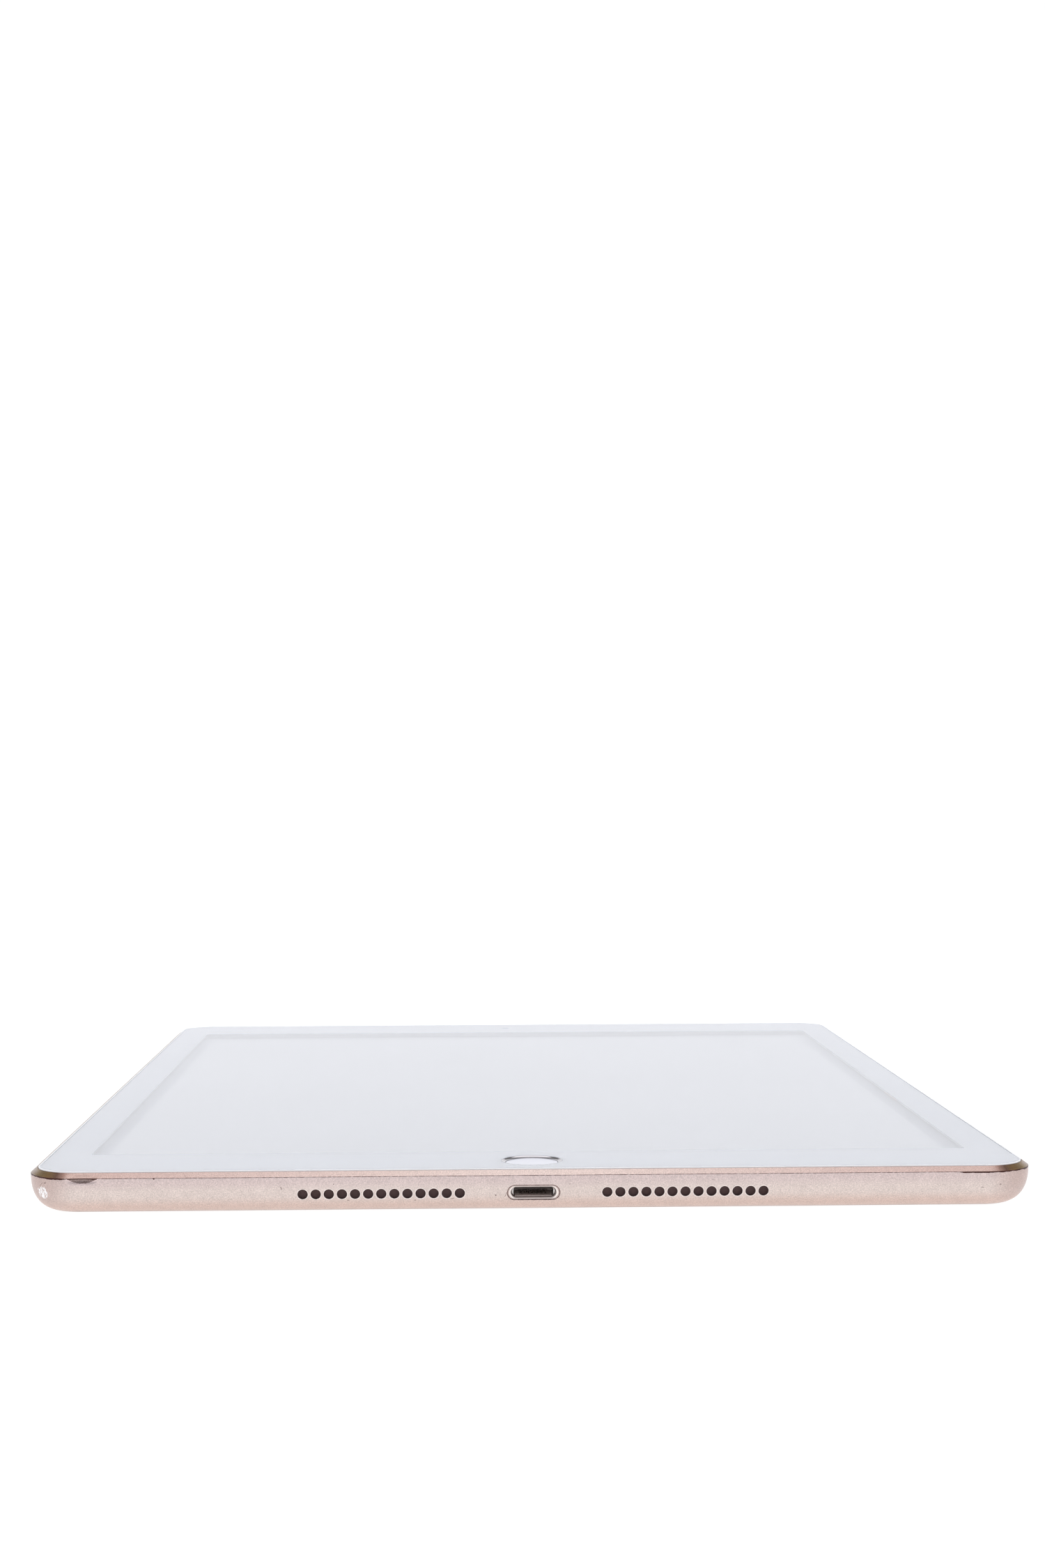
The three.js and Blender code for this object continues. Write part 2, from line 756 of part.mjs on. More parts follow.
const PORT_SHELL_FRONT = -HALF_LENGTH + PORT_LIP_DEPTH + FIT_GAP;
const PORT_BACK = -HALF_LENGTH + 9;
const PORT_CAVITY_LENGTH = 7.7;
const PORT_CAVITY_HEIGHT = 1.86;
const PORT_FLOOR = PORT_LEVEL - PORT_CAVITY_HEIGHT / 2;
const PORT_CEILING = PORT_LEVEL + PORT_CAVITY_HEIGHT / 2;
const CONTACT_COUNT = 8;
const CONTACT_PITCH = 0.6;

function portShell() {
  const cavity = stadium(PORT_CAVITY_LENGTH, PORT_CAVITY_HEIGHT);
  return alongY(portShellOutline(0), PORT_SHELL_FRONT, PORT_BACK, 0, PORT_LEVEL, [cavity]);
}

// A block that closes the back of the port, with a floor for the contacts and a ceiling.
function portInsulator() {
  const section = stadium(PORT_CAVITY_LENGTH - 0.1, PORT_CAVITY_HEIGHT - 0.1);
  const plug = alongY(section, PORT_BACK - 1.6, PORT_BACK + 0.8, 0, PORT_LEVEL);
  const front = PORT_SHELL_FRONT + 0.3;
  const back = PORT_BACK - 1.5;
  const floor = block(-3.2, 3.2, front, back, PORT_FLOOR + FIT_GAP, PORT_FLOOR + 0.2);
  const ceiling = block(-3.2, 3.2, front, back, PORT_CEILING - 0.2, PORT_CEILING - FIT_GAP);
  return join(plug, floor, ceiling);
}

add("port_shell", "steel", portShell());
add("port_insulator", "black_plastic", portInsulator());

// Eight spring fingers on one carrier bar.
function portContacts() {
  const low = PORT_FLOOR + 0.3;
  const bar = block(-2.5, 2.5, PORT_BACK - 2.2, PORT_BACK - 1.7, low, low + 0.15);
  const fingerPath = [
    [PORT_SHELL_FRONT + 1.6, low + 0.12],
    [PORT_SHELL_FRONT + 2.2, low + 0.42],
    [PORT_SHELL_FRONT + 3, low + 0.3],
    [PORT_BACK - 2, low + 0.07],
  ];
  const fingers = Array.from({ length: CONTACT_COUNT }, (_, i) => {
    const x = (i - (CONTACT_COUNT - 1) / 2) * CONTACT_PITCH;
    return alongX(ribbon(fingerPath, 0.12), x - 0.15, x + 0.15);
  });
  return join(bar, ...fingers);
}

add("port_contacts", "gold_contact", portContacts());

// A bowed side spring that grips the plug.
function portLatch(side) {
  const path = [
    [side * 3.62, PORT_SHELL_FRONT + 0.4],
    [side * 3.42, PORT_SHELL_FRONT + 2],
    [side * 3.62, PORT_BACK - 1.8],
  ];
  return plate(ribbon(path, 0.14), PORT_LEVEL - 0.45, PORT_LEVEL + 0.45);
}

add("port_latch_left", "steel", portLatch(-1));
add("port_latch_right", "steel", portLatch(1));

const portFlexPath = [
  [0, -115.4],
  [0, -102],
  [65.2, -102],
  [65.2, -64],
];
add("port_flex_cable", "polyimide_flex", plate(ribbon(portFlexPath, 5), 1, 1.12));

// ---------------------------------------------------------------- loudspeakers, jack, microphone

const SPEAKER_FRONT = -HALF_LENGTH + 3.4;
const SPEAKER_BACK = -109.2;
const SPEAKER_NEAR_X = 10.6;
const SPEAKER_FAR_X = 52;
const holesEnd = HOLE_FIRST + (HOLE_COUNT - 1) * HOLE_PITCH + HOLE_RADIUS;

function speaker(side) {
  const boxSpan = mirrored(side, SPEAKER_NEAR_X, SPEAKER_FAR_X);
  const noseSpan = mirrored(side, SPEAKER_NEAR_X + 0.2, holesEnd + 1.4);
  const hornSpan = mirrored(side, SPEAKER_NEAR_X + 1, holesEnd + 0.5);
  const box = block(...boxSpan, SPEAKER_FRONT + 2.1, SPEAKER_BACK, 1.1, 4.9);
  const nose = block(...noseSpan, SPEAKER_FRONT, SPEAKER_FRONT + 2.2, 2, 4.9);
  const horn = block(...hornSpan, SPEAKER_FRONT - 1, SPEAKER_FRONT + 3, 2.5, 4.3);
  return cut(join(box, nose), horn);
}

function speakerMesh(side) {
  const { nearX, farX, low, high } = SPEAKER_POCKET;
  const span = mirrored(side, nearX + FIT_GAP, farX - FIT_GAP);
  const front = -HALF_LENGTH + SPEAKER_WALL + FIT_GAP;
  return block(...span, front, front + 0.15, low + FIT_GAP, high - FIT_GAP);
}

for (const [name, side] of [["left", -1], ["right", 1]]) {
  add(`speaker_${name}`, "black_plastic", speaker(side));
  add(`speaker_mesh_${name}`, "speaker_mesh", speakerMesh(side));
}

// A block with a blind bore for the plug.
add(
  "headphone_jack",
  "black_plastic",
  cut(
    block(JACK_X - 3.1, JACK_X + 3.1, 108.4, HALF_LENGTH - 3.6, 1.7, 5.8),
    alongY(circle(JACK_RADIUS - 0.05, 0, 0, 20), 109.6, HALF_LENGTH, JACK_X, JACK_LEVEL),
  ),
);
add("top_microphone", "steel", block(-1.8, 1.8, HALF_LENGTH - 6, HALF_LENGTH - 3.2, 2.2, 3.9));

// ---------------------------------------------------------------- cameras and antennas

add(
  "front_camera",
  "chip_black",
  join(
    block(-3.2, 3.2, FRONT_CAMERA_Y - 3.2, FRONT_CAMERA_Y + 3.2, 3.4, 5.6),
    disc(1.5, 5.5, PRINT_LOW - 0.1, 0, FRONT_CAMERA_Y, 16),
  ),
);
const cameraBody = roundedRect(4.2, 4.2, 0.6, 1);
add("rear_camera", "chip_black", plate(cameraBody, 1.25, 5).translate(CAMERA_X, CAMERA_Y, 0));
add(
  "rear_camera_ring",
  "steel",
  turned(
    [
      [3.55, 0.2],
      [3.75, 0.05],
      [4.6, 0.05],
      [4.75, 0.2],
      [4.75, 1.15],
      [3.55, 1.15],
    ],
    CAMERA_X,
    CAMERA_Y,
  ),
);
add("rear_camera_lens", "lens_glass", disc(3.5, 0.25, 0.8, CAMERA_X, CAMERA_Y));

// Printed antennas on their carriers, under the glass beside the front camera.
for (const [name, side] of [["left", -1], ["right", 1]]) {
  add(`antenna_${name}`, "gold_contact", block(...mirrored(side, 20, 50), 112.5, 119.5, 5, 5.9));
}

export default tablet;
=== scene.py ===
"""A tablet computer lying flat on a white table, seen low over its charging-port edge.

Shapes are worked out in millimetres and become metres when a mesh is made. +Z points out of the
screen, -Y towards the charging-port edge, and +X towards the edge with the volume buttons.
"""

import json
import math

import bpy
import numpy as np
from mathutils import Matrix, Vector
from mathutils.geometry import tessellate_polygon


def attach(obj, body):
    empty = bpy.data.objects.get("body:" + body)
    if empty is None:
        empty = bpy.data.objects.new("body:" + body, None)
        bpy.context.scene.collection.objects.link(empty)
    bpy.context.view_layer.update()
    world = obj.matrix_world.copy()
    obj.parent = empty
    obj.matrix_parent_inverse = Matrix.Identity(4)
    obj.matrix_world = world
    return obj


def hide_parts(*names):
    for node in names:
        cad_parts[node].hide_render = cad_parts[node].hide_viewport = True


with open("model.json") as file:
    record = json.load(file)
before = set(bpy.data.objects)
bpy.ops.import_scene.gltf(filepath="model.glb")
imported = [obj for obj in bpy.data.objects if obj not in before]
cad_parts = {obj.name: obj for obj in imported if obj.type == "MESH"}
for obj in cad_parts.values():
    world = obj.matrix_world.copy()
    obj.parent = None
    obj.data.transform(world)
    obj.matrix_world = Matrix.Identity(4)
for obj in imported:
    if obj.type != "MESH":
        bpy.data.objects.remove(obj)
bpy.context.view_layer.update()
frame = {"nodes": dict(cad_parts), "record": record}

MM = 0.001

# ---------- sizes, as in the CAD model

HALF_X = 87.05
HALF_Y = 125.3
TOP = 7.5
CORNER_RADIUS = 9.0
WALL_TOP = 6.45  # height of the edge between the wall and the chamfer
WALL_FOOT = 5.8  # how far in the flat back starts
WALL_POWER = 2.4
CHAMFER_SLOPE = 0.72
RIM_INSET = 1.25
LEDGE_TOP = 6.3
LEDGE_LOW = 5.6
LEDGE_INSET = 3.4
FLOOR = 0.9
INNER_FOOT = 1.4  # height where the wall's inner face starts
INNER_BEND = 2.2  # height from which it stands upright
INNER_WALL = 2.1
SPEAKER_WALL = 1.45
PORT_WALL = 1.75

GLASS_INSET = 1.6
GLASS_LOW = 6.7
PRINT_LOW = 6.54
WINDOW_X = 78.4
WINDOW_Y = 104.4
PICTURE_X = 76.4  # the picture stops short of the window, inside a grey border that is partly the panel's unlit rim and partly painted reflection of the print's edge
PICTURE_Y = 102.4
LCD_X = 81.0
LCD_Y = 107.0
LCD_LOW = 4.95
LCD_TOP = 5.45

PORT_LEVEL = 3.4
HOLE_FIRST = 12.65
HOLE_PITCH = 2.24
HOLE_COUNT = 13
HOLE_RADIUS = 0.875

HOME_Y = -HALF_Y + 10.4
HOME_RADIUS = 5.4
FRONT_CAMERA_Y = HALF_Y - 10.4

BUTTON_LEVEL = 3.9
BUTTON_LENGTH = 10.0
BUTTON_HEIGHT = 2.4
BUTTON_PROUD = 0.35
POWER_X = 60.0
VOLUME_YS = (96.0, 83.0)
CAMERA_X = 74.0
CAMERA_Y = 112.9
CAMERA_HOLE = 4.8
BACK_MICROPHONE_X = CAMERA_X - 8.2
BACK_MICROPHONE_RADIUS = 0.5
JACK_X = -72.0
JACK_LEVEL = 3.6
JACK_RADIUS = 1.8


# ---------- the outline of the tablet

NEAR, RIGHT, FAR, LEFT = range(4)
ALONG = [np.array(v, float) for v in ((1, 0), (0, 1), (-1, 0), (0, -1))]
INWARD = [np.array(v, float) for v in ((0, 1), (-1, 0), (0, -1), (1, 0))]
HALF_ALONG = (HALF_X, HALF_Y, HALF_X, HALF_Y)
HALF_ACROSS = (HALF_Y, HALF_X, HALF_Y, HALF_X)


class Outline:
    """The tablet's outline as a loop of columns, each with a base point and its inward direction."""

    def __init__(self, stations=None, corner_steps=14):
        self.bases, self.inwards, self.column_of = [], [], {}
        for edge in range(4):
            straight = HALF_ALONG[edge] - CORNER_RADIUS
            along, inward = ALONG[edge], INWARD[edge]
            places = stations[edge] if stations else np.linspace(-straight, straight, 9)
            for place in places:
                self.column_of[edge, round(float(place), 4)] = len(self.bases)
                self.bases.append(place * along - HALF_ACROSS[edge] * inward)
                self.inwards.append(inward)
            centre = straight * along - (HALF_ACROSS[edge] - CORNER_RADIUS) * inward
            for step in range(1, corner_steps):
                angle = math.pi / 2 * step / corner_steps
                outward = -inward * math.cos(angle) + along * math.sin(angle)
                self.bases.append(centre + CORNER_RADIUS * outward)
                self.inwards.append(-outward)
        self.bases, self.inwards = np.array(self.bases), np.array(self.inwards)

    def ring(self, inset, z):
        points = self.bases + np.asarray(inset).reshape(-1, 1) * self.inwards
        return np.column_stack([points, np.full(len(points), float(z))])


def edge_point(edge, place, inset, z):
    x, y = place * ALONG[edge] - (HALF_ACROSS[edge] - inset) * INWARD[edge]
    return (x, y, z)


def wall_inset(z):
    """How far in the outer wall is at a height: nothing at the edge, WALL_FOOT at the back."""
    depth = min(max((WALL_TOP - z) / WALL_TOP, 0.0), 1.0)
    return WALL_FOOT * (1 - (1 - depth**WALL_POWER) ** (1 / WALL_POWER))


def inner_inset(z):
    """The same for the wall's inner face."""
    return float(np.interp(z, [FLOOR, INNER_FOOT, INNER_BEND], [5.2, 3.0, INNER_WALL]))


def fillet(corner, before, after, radius, steps):
    """Points of an arc that rounds a corner between two directions, all as (inset, z)."""
    corner, before, after = (np.array(v, float) for v in (corner, before, after))
    before, after = before / np.linalg.norm(before), after / np.linalg.norm(after)
    turn = math.acos(np.clip(before @ after, -1, 1))
    reach = radius * math.tan(turn / 2)
    start = corner - reach * before
    side = after - (after @ before) * before
    centre = start + radius * side / np.linalg.norm(side)
    spoke = start - centre
    return [
        tuple(centre + spoke * math.cos(a) + radius * before * math.sin(a))
        for a in np.linspace(0, turn, steps + 1)
    ]


# ---------- making meshes

SHARP_ANGLE = 38  # degrees between faces from which their edge stays sharp


class Surface:
    """Points and faces gathered from rings, each face with the number of its material."""

    def __init__(self):
        self.points, self.faces, self.zones = [], [], []

    def ring(self, points):
        start = len(self.points)
        self.points.extend(tuple(float(c) for c in p) for p in points)
        return list(range(start, len(self.points)))

    def face(self, corners, zone=0):
        self.faces.append(tuple(corners))
        self.zones.append(zone)

    def bridge(self, lower, upper, zone=0, skip=()):
        """Quads between two closed rings. skip holds the columns that are left open."""
        count = len(lower)
        for i in range(count):
            if i not in skip:
                j = (i + 1) % count
                self.face((lower[i], lower[j], upper[j], upper[i]), zone)

    def join(self, rows, zone=0, flip=False):
        """Bridges each row of point numbers to the next. flip turns the faces over."""
        for lower, upper in zip(rows, rows[1:]):
            pair = (upper, lower) if flip else (lower, upper)
            self.bridge(*pair, zone)

    def stack(self, rings, zone=0):
        """Adds rings of points, joins them and returns their point numbers."""
        rows = [self.ring(r) for r in rings]
        self.join(rows, zone)
        return rows

    def cap(self, loops, zone=0, up=True):
        """Fills a flat region between an outer loop and any holes."""
        flat = [i for loop in loops for i in loop]
        outlines = [[Vector((*self.points[i][:2], 0)) for i in loop] for loop in loops]
        for triangle in tessellate_polygon(outlines):
            a, b, c = (np.array(self.points[flat[i]][:2]) for i in triangle)
            counter_clockwise = (b - a)[0] * (c - a)[1] - (b - a)[1] * (c - a)[0] > 0
            corners = [flat[i] for i in triangle]
            self.face(corners if counter_clockwise == up else corners[::-1], zone)


def add_object(name, data):
    made = bpy.data.objects.new(name, data)
    bpy.context.scene.collection.objects.link(made)
    return made


def make_piece(name, surface, materials, replaces, body="tablet"):
    mesh = bpy.data.meshes.new(name)
    mesh.from_pydata([tuple(c * MM for c in p) for p in surface.points], [], surface.faces)
    for material in materials:
        mesh.materials.append(material)
    mesh.polygons.foreach_set("material_index", surface.zones)
    mesh.shade_smooth()
    mesh.set_sharp_from_angle(angle=math.radians(SHARP_ANGLE))
    piece = add_object(name, mesh)
    weighted = piece.modifiers.new("even normals", "WEIGHTED_NORMAL")
    weighted.keep_sharp = True
    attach(piece, body)
    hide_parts(*replaces)


def circle(radius, x=0.0, y=0.0, z=0.0, steps=48):
    angles = np.linspace(0, 2 * math.pi, steps, endpoint=False)
    ones = np.ones(steps)
    return np.column_stack([x + radius * np.cos(angles), y + radius * np.sin(angles), z * ones])


def lathe(profile, x, y, steps=96, closed=True):
    """A profile of (radius, z) turned about a vertical axis. It runs up its outer side."""
    surface = Surface()
    rows = surface.stack([circle(r, x, y, z, steps) for r, z in profile])
    if closed:
        surface.bridge(rows[-1], rows[0])
    else:
        surface.cap([rows[0]], up=False)
        surface.cap([rows[-1]])
    return surface


def stadium_ring(length, height, steps=12):
    """(u, v) points of a slot with round ends, counter-clockwise from its lower right."""
    radius = height / 2
    core = length / 2 - radius
    right = [(core + radius * math.cos(a), radius * math.sin(a)) for a in np.linspace(-1.5708, 1.5708, steps)]
    return right + [(-u, -v) for u, v in right]


# ---------- materials

MIX_A, MIX_B, MIX_RESULT = 6, 7, 2  # a Mix node's sockets when it mixes colours


class Nodes:
    """A node tree with short calls for the nodes that the materials and the light share."""

    def __init__(self, name, kind=bpy.data.materials, shader="Principled BSDF"):
        self.owner = kind.new(name)
        self.owner.use_nodes = True
        self.tree = self.owner.node_tree
        self.shader = self.tree.nodes[shader]
        texture = self.node("TexCoord")
        self.place, self.facing = texture.outputs["Object"], texture.outputs["Normal"]
        self.direction = texture.outputs["Generated"]

    def link(self, source, target):
        self.tree.links.new(source, target)

    def set(self, **values):
        for name, value in values.items():
            self.shader.inputs[name.replace("_", " ")].default_value = value
        return self

    def node(self, kind, **settings):
        made = self.tree.nodes.new("ShaderNode" + kind)
        for name, value in settings.items():
            setattr(made, name, value)
        return made

    def fill(self, socket, value):
        if isinstance(value, bpy.types.NodeSocket):
            self.link(value, socket)
        elif isinstance(value, tuple) and len(value) == 3 and len(socket.default_value) == 4:
            socket.default_value = (*value, 1)
        else:
            socket.default_value = value

    def math(self, operation, a, b=0.0):
        made = self.node("Math", operation=operation)
        self.fill(made.inputs[0], a)
        self.fill(made.inputs[1], b)
        return made.outputs[0]

    def times(self, a, b):
        return self.math("MULTIPLY", a, b)

    def vector(self, operation, a, b=(0.0, 0.0, 0.0)):
        made = self.node("VectorMath", operation=operation)
        self.fill(made.inputs[0], a)
        self.fill(made.inputs[1], b)
        return made.outputs["Value" if operation == "LENGTH" else "Vector"]

    def noise(self, size_mm, detail=2.0, roughness=0.5, stretch=(1, 1, 1), offset=(0, 0, 0)):
        """Noise from 0 to 1 with features about size_mm across."""
        moved = self.vector("ADD", self.place, tuple(c * MM for c in offset))
        placed = self.vector("MULTIPLY", moved, tuple(float(s) for s in stretch))
        made = self.node("TexNoise")
        self.link(placed, made.inputs["Vector"])
        made.inputs["Scale"].default_value = 1 / (size_mm * MM)
        made.inputs["Detail"].default_value = detail
        made.inputs["Roughness"].default_value = roughness
        return made.outputs["Fac"]

    def remap(self, value, low, high, to_low=0.0, to_high=1.0, smooth=False):
        made = self.node("MapRange", interpolation_type="SMOOTHSTEP" if smooth else "LINEAR")
        for name, number in (("From Min", low), ("From Max", high), ("To Min", to_low), ("To Max", to_high)):
            made.inputs[name].default_value = number
        self.fill(made.inputs["Value"], value)
        return made.outputs["Result"]

    def mix(self, amount, a, b):
        made = self.node("Mix", data_type="RGBA")
        self.fill(made.inputs["Factor"], amount)
        self.fill(made.inputs[MIX_A], a)
        self.fill(made.inputs[MIX_B], b)
        return made.outputs[MIX_RESULT]

    def ramp(self, value, stops, interpolation="LINEAR"):
        """Colours by value, from (position, colour) stops."""
        made = self.node("ValToRGB")
        made.color_ramp.interpolation = interpolation
        elements = made.color_ramp.elements
        while len(elements) < len(stops):
            elements.new(0.5)
        for element, (position, colour) in zip(elements, stops):
            element.position = position
            element.color = (*colour, 1)
        self.link(value, made.inputs["Fac"])
        return made.outputs["Color"]

    def colour(self, value):
        self.fill(self.shader.inputs["Base Color"], value)
        return self

    def rough(self, value):
        self.fill(self.shader.inputs["Roughness"], value)
        return self

    def bump(self, height, distance_mm):
        made = self.node("Bump")
        made.inputs["Distance"].default_value = distance_mm * MM
        self.link(height, made.inputs["Height"])
        before = self.shader.inputs["Normal"]
        if before.links:
            self.link(before.links[0].from_socket, made.inputs["Normal"])
        self.link(made.outputs["Normal"], before)
        return self

    def component(self, vector, name):
        split = self.node("SeparateXYZ")
        self.link(vector, split.inputs[0])
        return split.outputs[name]

    def axis(self, name):
        """An object-space coordinate in millimetres."""
        return self.times(self.component(self.place, name), 1 / MM)

    def mark(self, centre, half, tilt=0.0, ragged=0.35, grain=0.3):
        """1 inside an ellipsoid mark on the surface, 0 outside, with a ragged edge. Sizes in mm.
        tilt is in degrees and leans the top of a mark on the near wall towards +X."""
        offset = self.vector("SUBTRACT", self.place, tuple(c * MM for c in centre))
        turned = self.node("VectorRotate", rotation_type="Y_AXIS")
        self.link(offset, turned.inputs["Vector"])
        turned.inputs["Angle"].default_value = math.radians(-tilt)
        scaled = self.vector("MULTIPLY", turned.outputs[0], tuple(1 / (h * MM) for h in half))
        distance = self.vector("LENGTH", scaled)
        jitter = self.remap(self.noise(grain, 3), 0.3, 0.7, -ragged, ragged)
        return self.remap(self.math("ADD", distance, jitter), 1.12, 0.88)


def linear(red, green, blue):
    """An sRGB colour of 0 to 255 as the linear colour that shaders take."""

    def channel(value):
        value /= 255
        return value / 12.92 if value <= 0.04045 else ((value + 0.055) / 1.055) ** 2.4

    return (channel(red), channel(green), channel(blue))


# Marks of wear on the near wall and its corners: centre, half sizes, tilt and strength, in mm and
# degrees.
SPECKS = [
    ((-6.5, -124.5, 3.0), (0.13, 1.0, 0.12), 0, 0.75),
    ((-66.7, -124.5, 7.0), (0.3, 1.0, 0.1), 0, 1.0),
    ((-64.8, -125.3, 6.35), (0.16, 1.0, 0.12), 0, 1.0),
    ((-34.2, -125.2, 5.2), (0.09, 1.0, 0.09), 0, 0.8),
    ((77.3, -124.9, 3.7), (0.28, 1.2, 0.09), 8, 0.5),
    ((80.5, -124.7, 4.15), (0.2, 1.2, 0.13), 0, 0.5),
    ((6.2, -125.2, 4.9), (0.1, 1.0, 0.09), 0, 0.45),
    ((-83.6, -123.3, 5.5), (0.25, 1.2, 0.12), -30, 0.45),
]
SCRATCHES = [
    ((-43.2, -125.1, 4.6), (0.07, 1.0, 0.34), -28, 0.75),
    ((-13.9, -124.0, 2.45), (0.42, 1.0, 0.07), -16, 0.75),
    ((-4.75, -124.5, 3.15), (0.06, 1.0, 0.42), 24, 0.75),
    ((-31.8, -124.0, 2.3), (0.2, 1.0, 0.06), 12, 0.75),
    ((-20.3, -124.0, 2.2), (0.16, 1.0, 0.05), -10, 0.75),
    ((31.0, -125.2, 5.4), (0.3, 1.0, 0.05), 6, 0.6),
    ((-84.4, -122.6, 5.1), (0.06, 1.4, 0.5), 38, 0.4),
]
NICK_X = -77.0
NICK_HALF = 2.75
NICK_DROP = 0.85
NICK_DEPTH = 0.3

# The wall's tints by height are painted reflection and shade: greyer near the top edge, lighter mid-way,
# peach lower down.
CASE_TOP_TINT = linear(209, 192, 189)
CASE_MID_TINT = linear(213, 199, 193)
CASE_LOW_TINT = linear(212, 190, 181)
# The chamfer's tints are painted shade: lighter in the middle, browner towards the ends.
CHAMFER_TINT = linear(203, 184, 175)
CHAMFER_END_TINT = linear(184, 158, 149)
# painted shade for the wall's rounded corners
CASE_CORNER_TINT = linear(192, 172, 166)
PAINTED_CONTACT_SHADE = linear(180, 163, 157)  # painted contact shade in a thin band just above the table
WORN_TINT = linear(120, 100, 94)
NICK_LIP_TINT = linear(236, 214, 212)
DARK_MARK = linear(70, 45, 42)


# The chamfer's colour by how far it faces sideways, painted reflection of the studio: brown, dark, old gold,
# then plain again.
CHAMFER_TURN = [
    (0.0, linear(190, 164, 152)),
    (0.14, linear(150, 120, 108)),
    (0.24, linear(96, 72, 60)),
    (0.36, linear(136, 108, 70)),
    (0.48, linear(164, 138, 98)),
    (0.56, linear(172, 154, 138)),
]


def blasted_metal(nodes, tint, contrast, grain_mm, depth_mm, roughness):
    """Bead-blasted anodised aluminium: a matt metal with fine light and dark grain."""
    nodes.set(Metallic=1.0)
    fine = nodes.noise(grain_mm, 3, 0.6)
    broad = nodes.noise(grain_mm * 9, 2)
    shade = nodes.remap(fine, 0.3, 0.7, 1 - contrast, 1 + contrast)
    shade = nodes.times(shade, nodes.remap(broad, 0.3, 0.7, 0.97, 1.03))
    sparkle = nodes.remap(nodes.noise(grain_mm * 0.8, 1, offset=(7, 3, 5)), 0.66, 0.74, 0.0, contrast * 1.3)
    shade = nodes.math("ADD", shade, sparkle)
    multiplied = nodes.node("VectorMath", operation="SCALE")
    nodes.fill(multiplied.inputs[0], tint)
    nodes.link(shade, multiplied.inputs["Scale"])
    nodes.rough(nodes.remap(fine, 0.3, 0.7, roughness - 0.06, roughness + 0.06))
    nodes.bump(fine, depth_mm)
    return multiplied.outputs["Vector"]


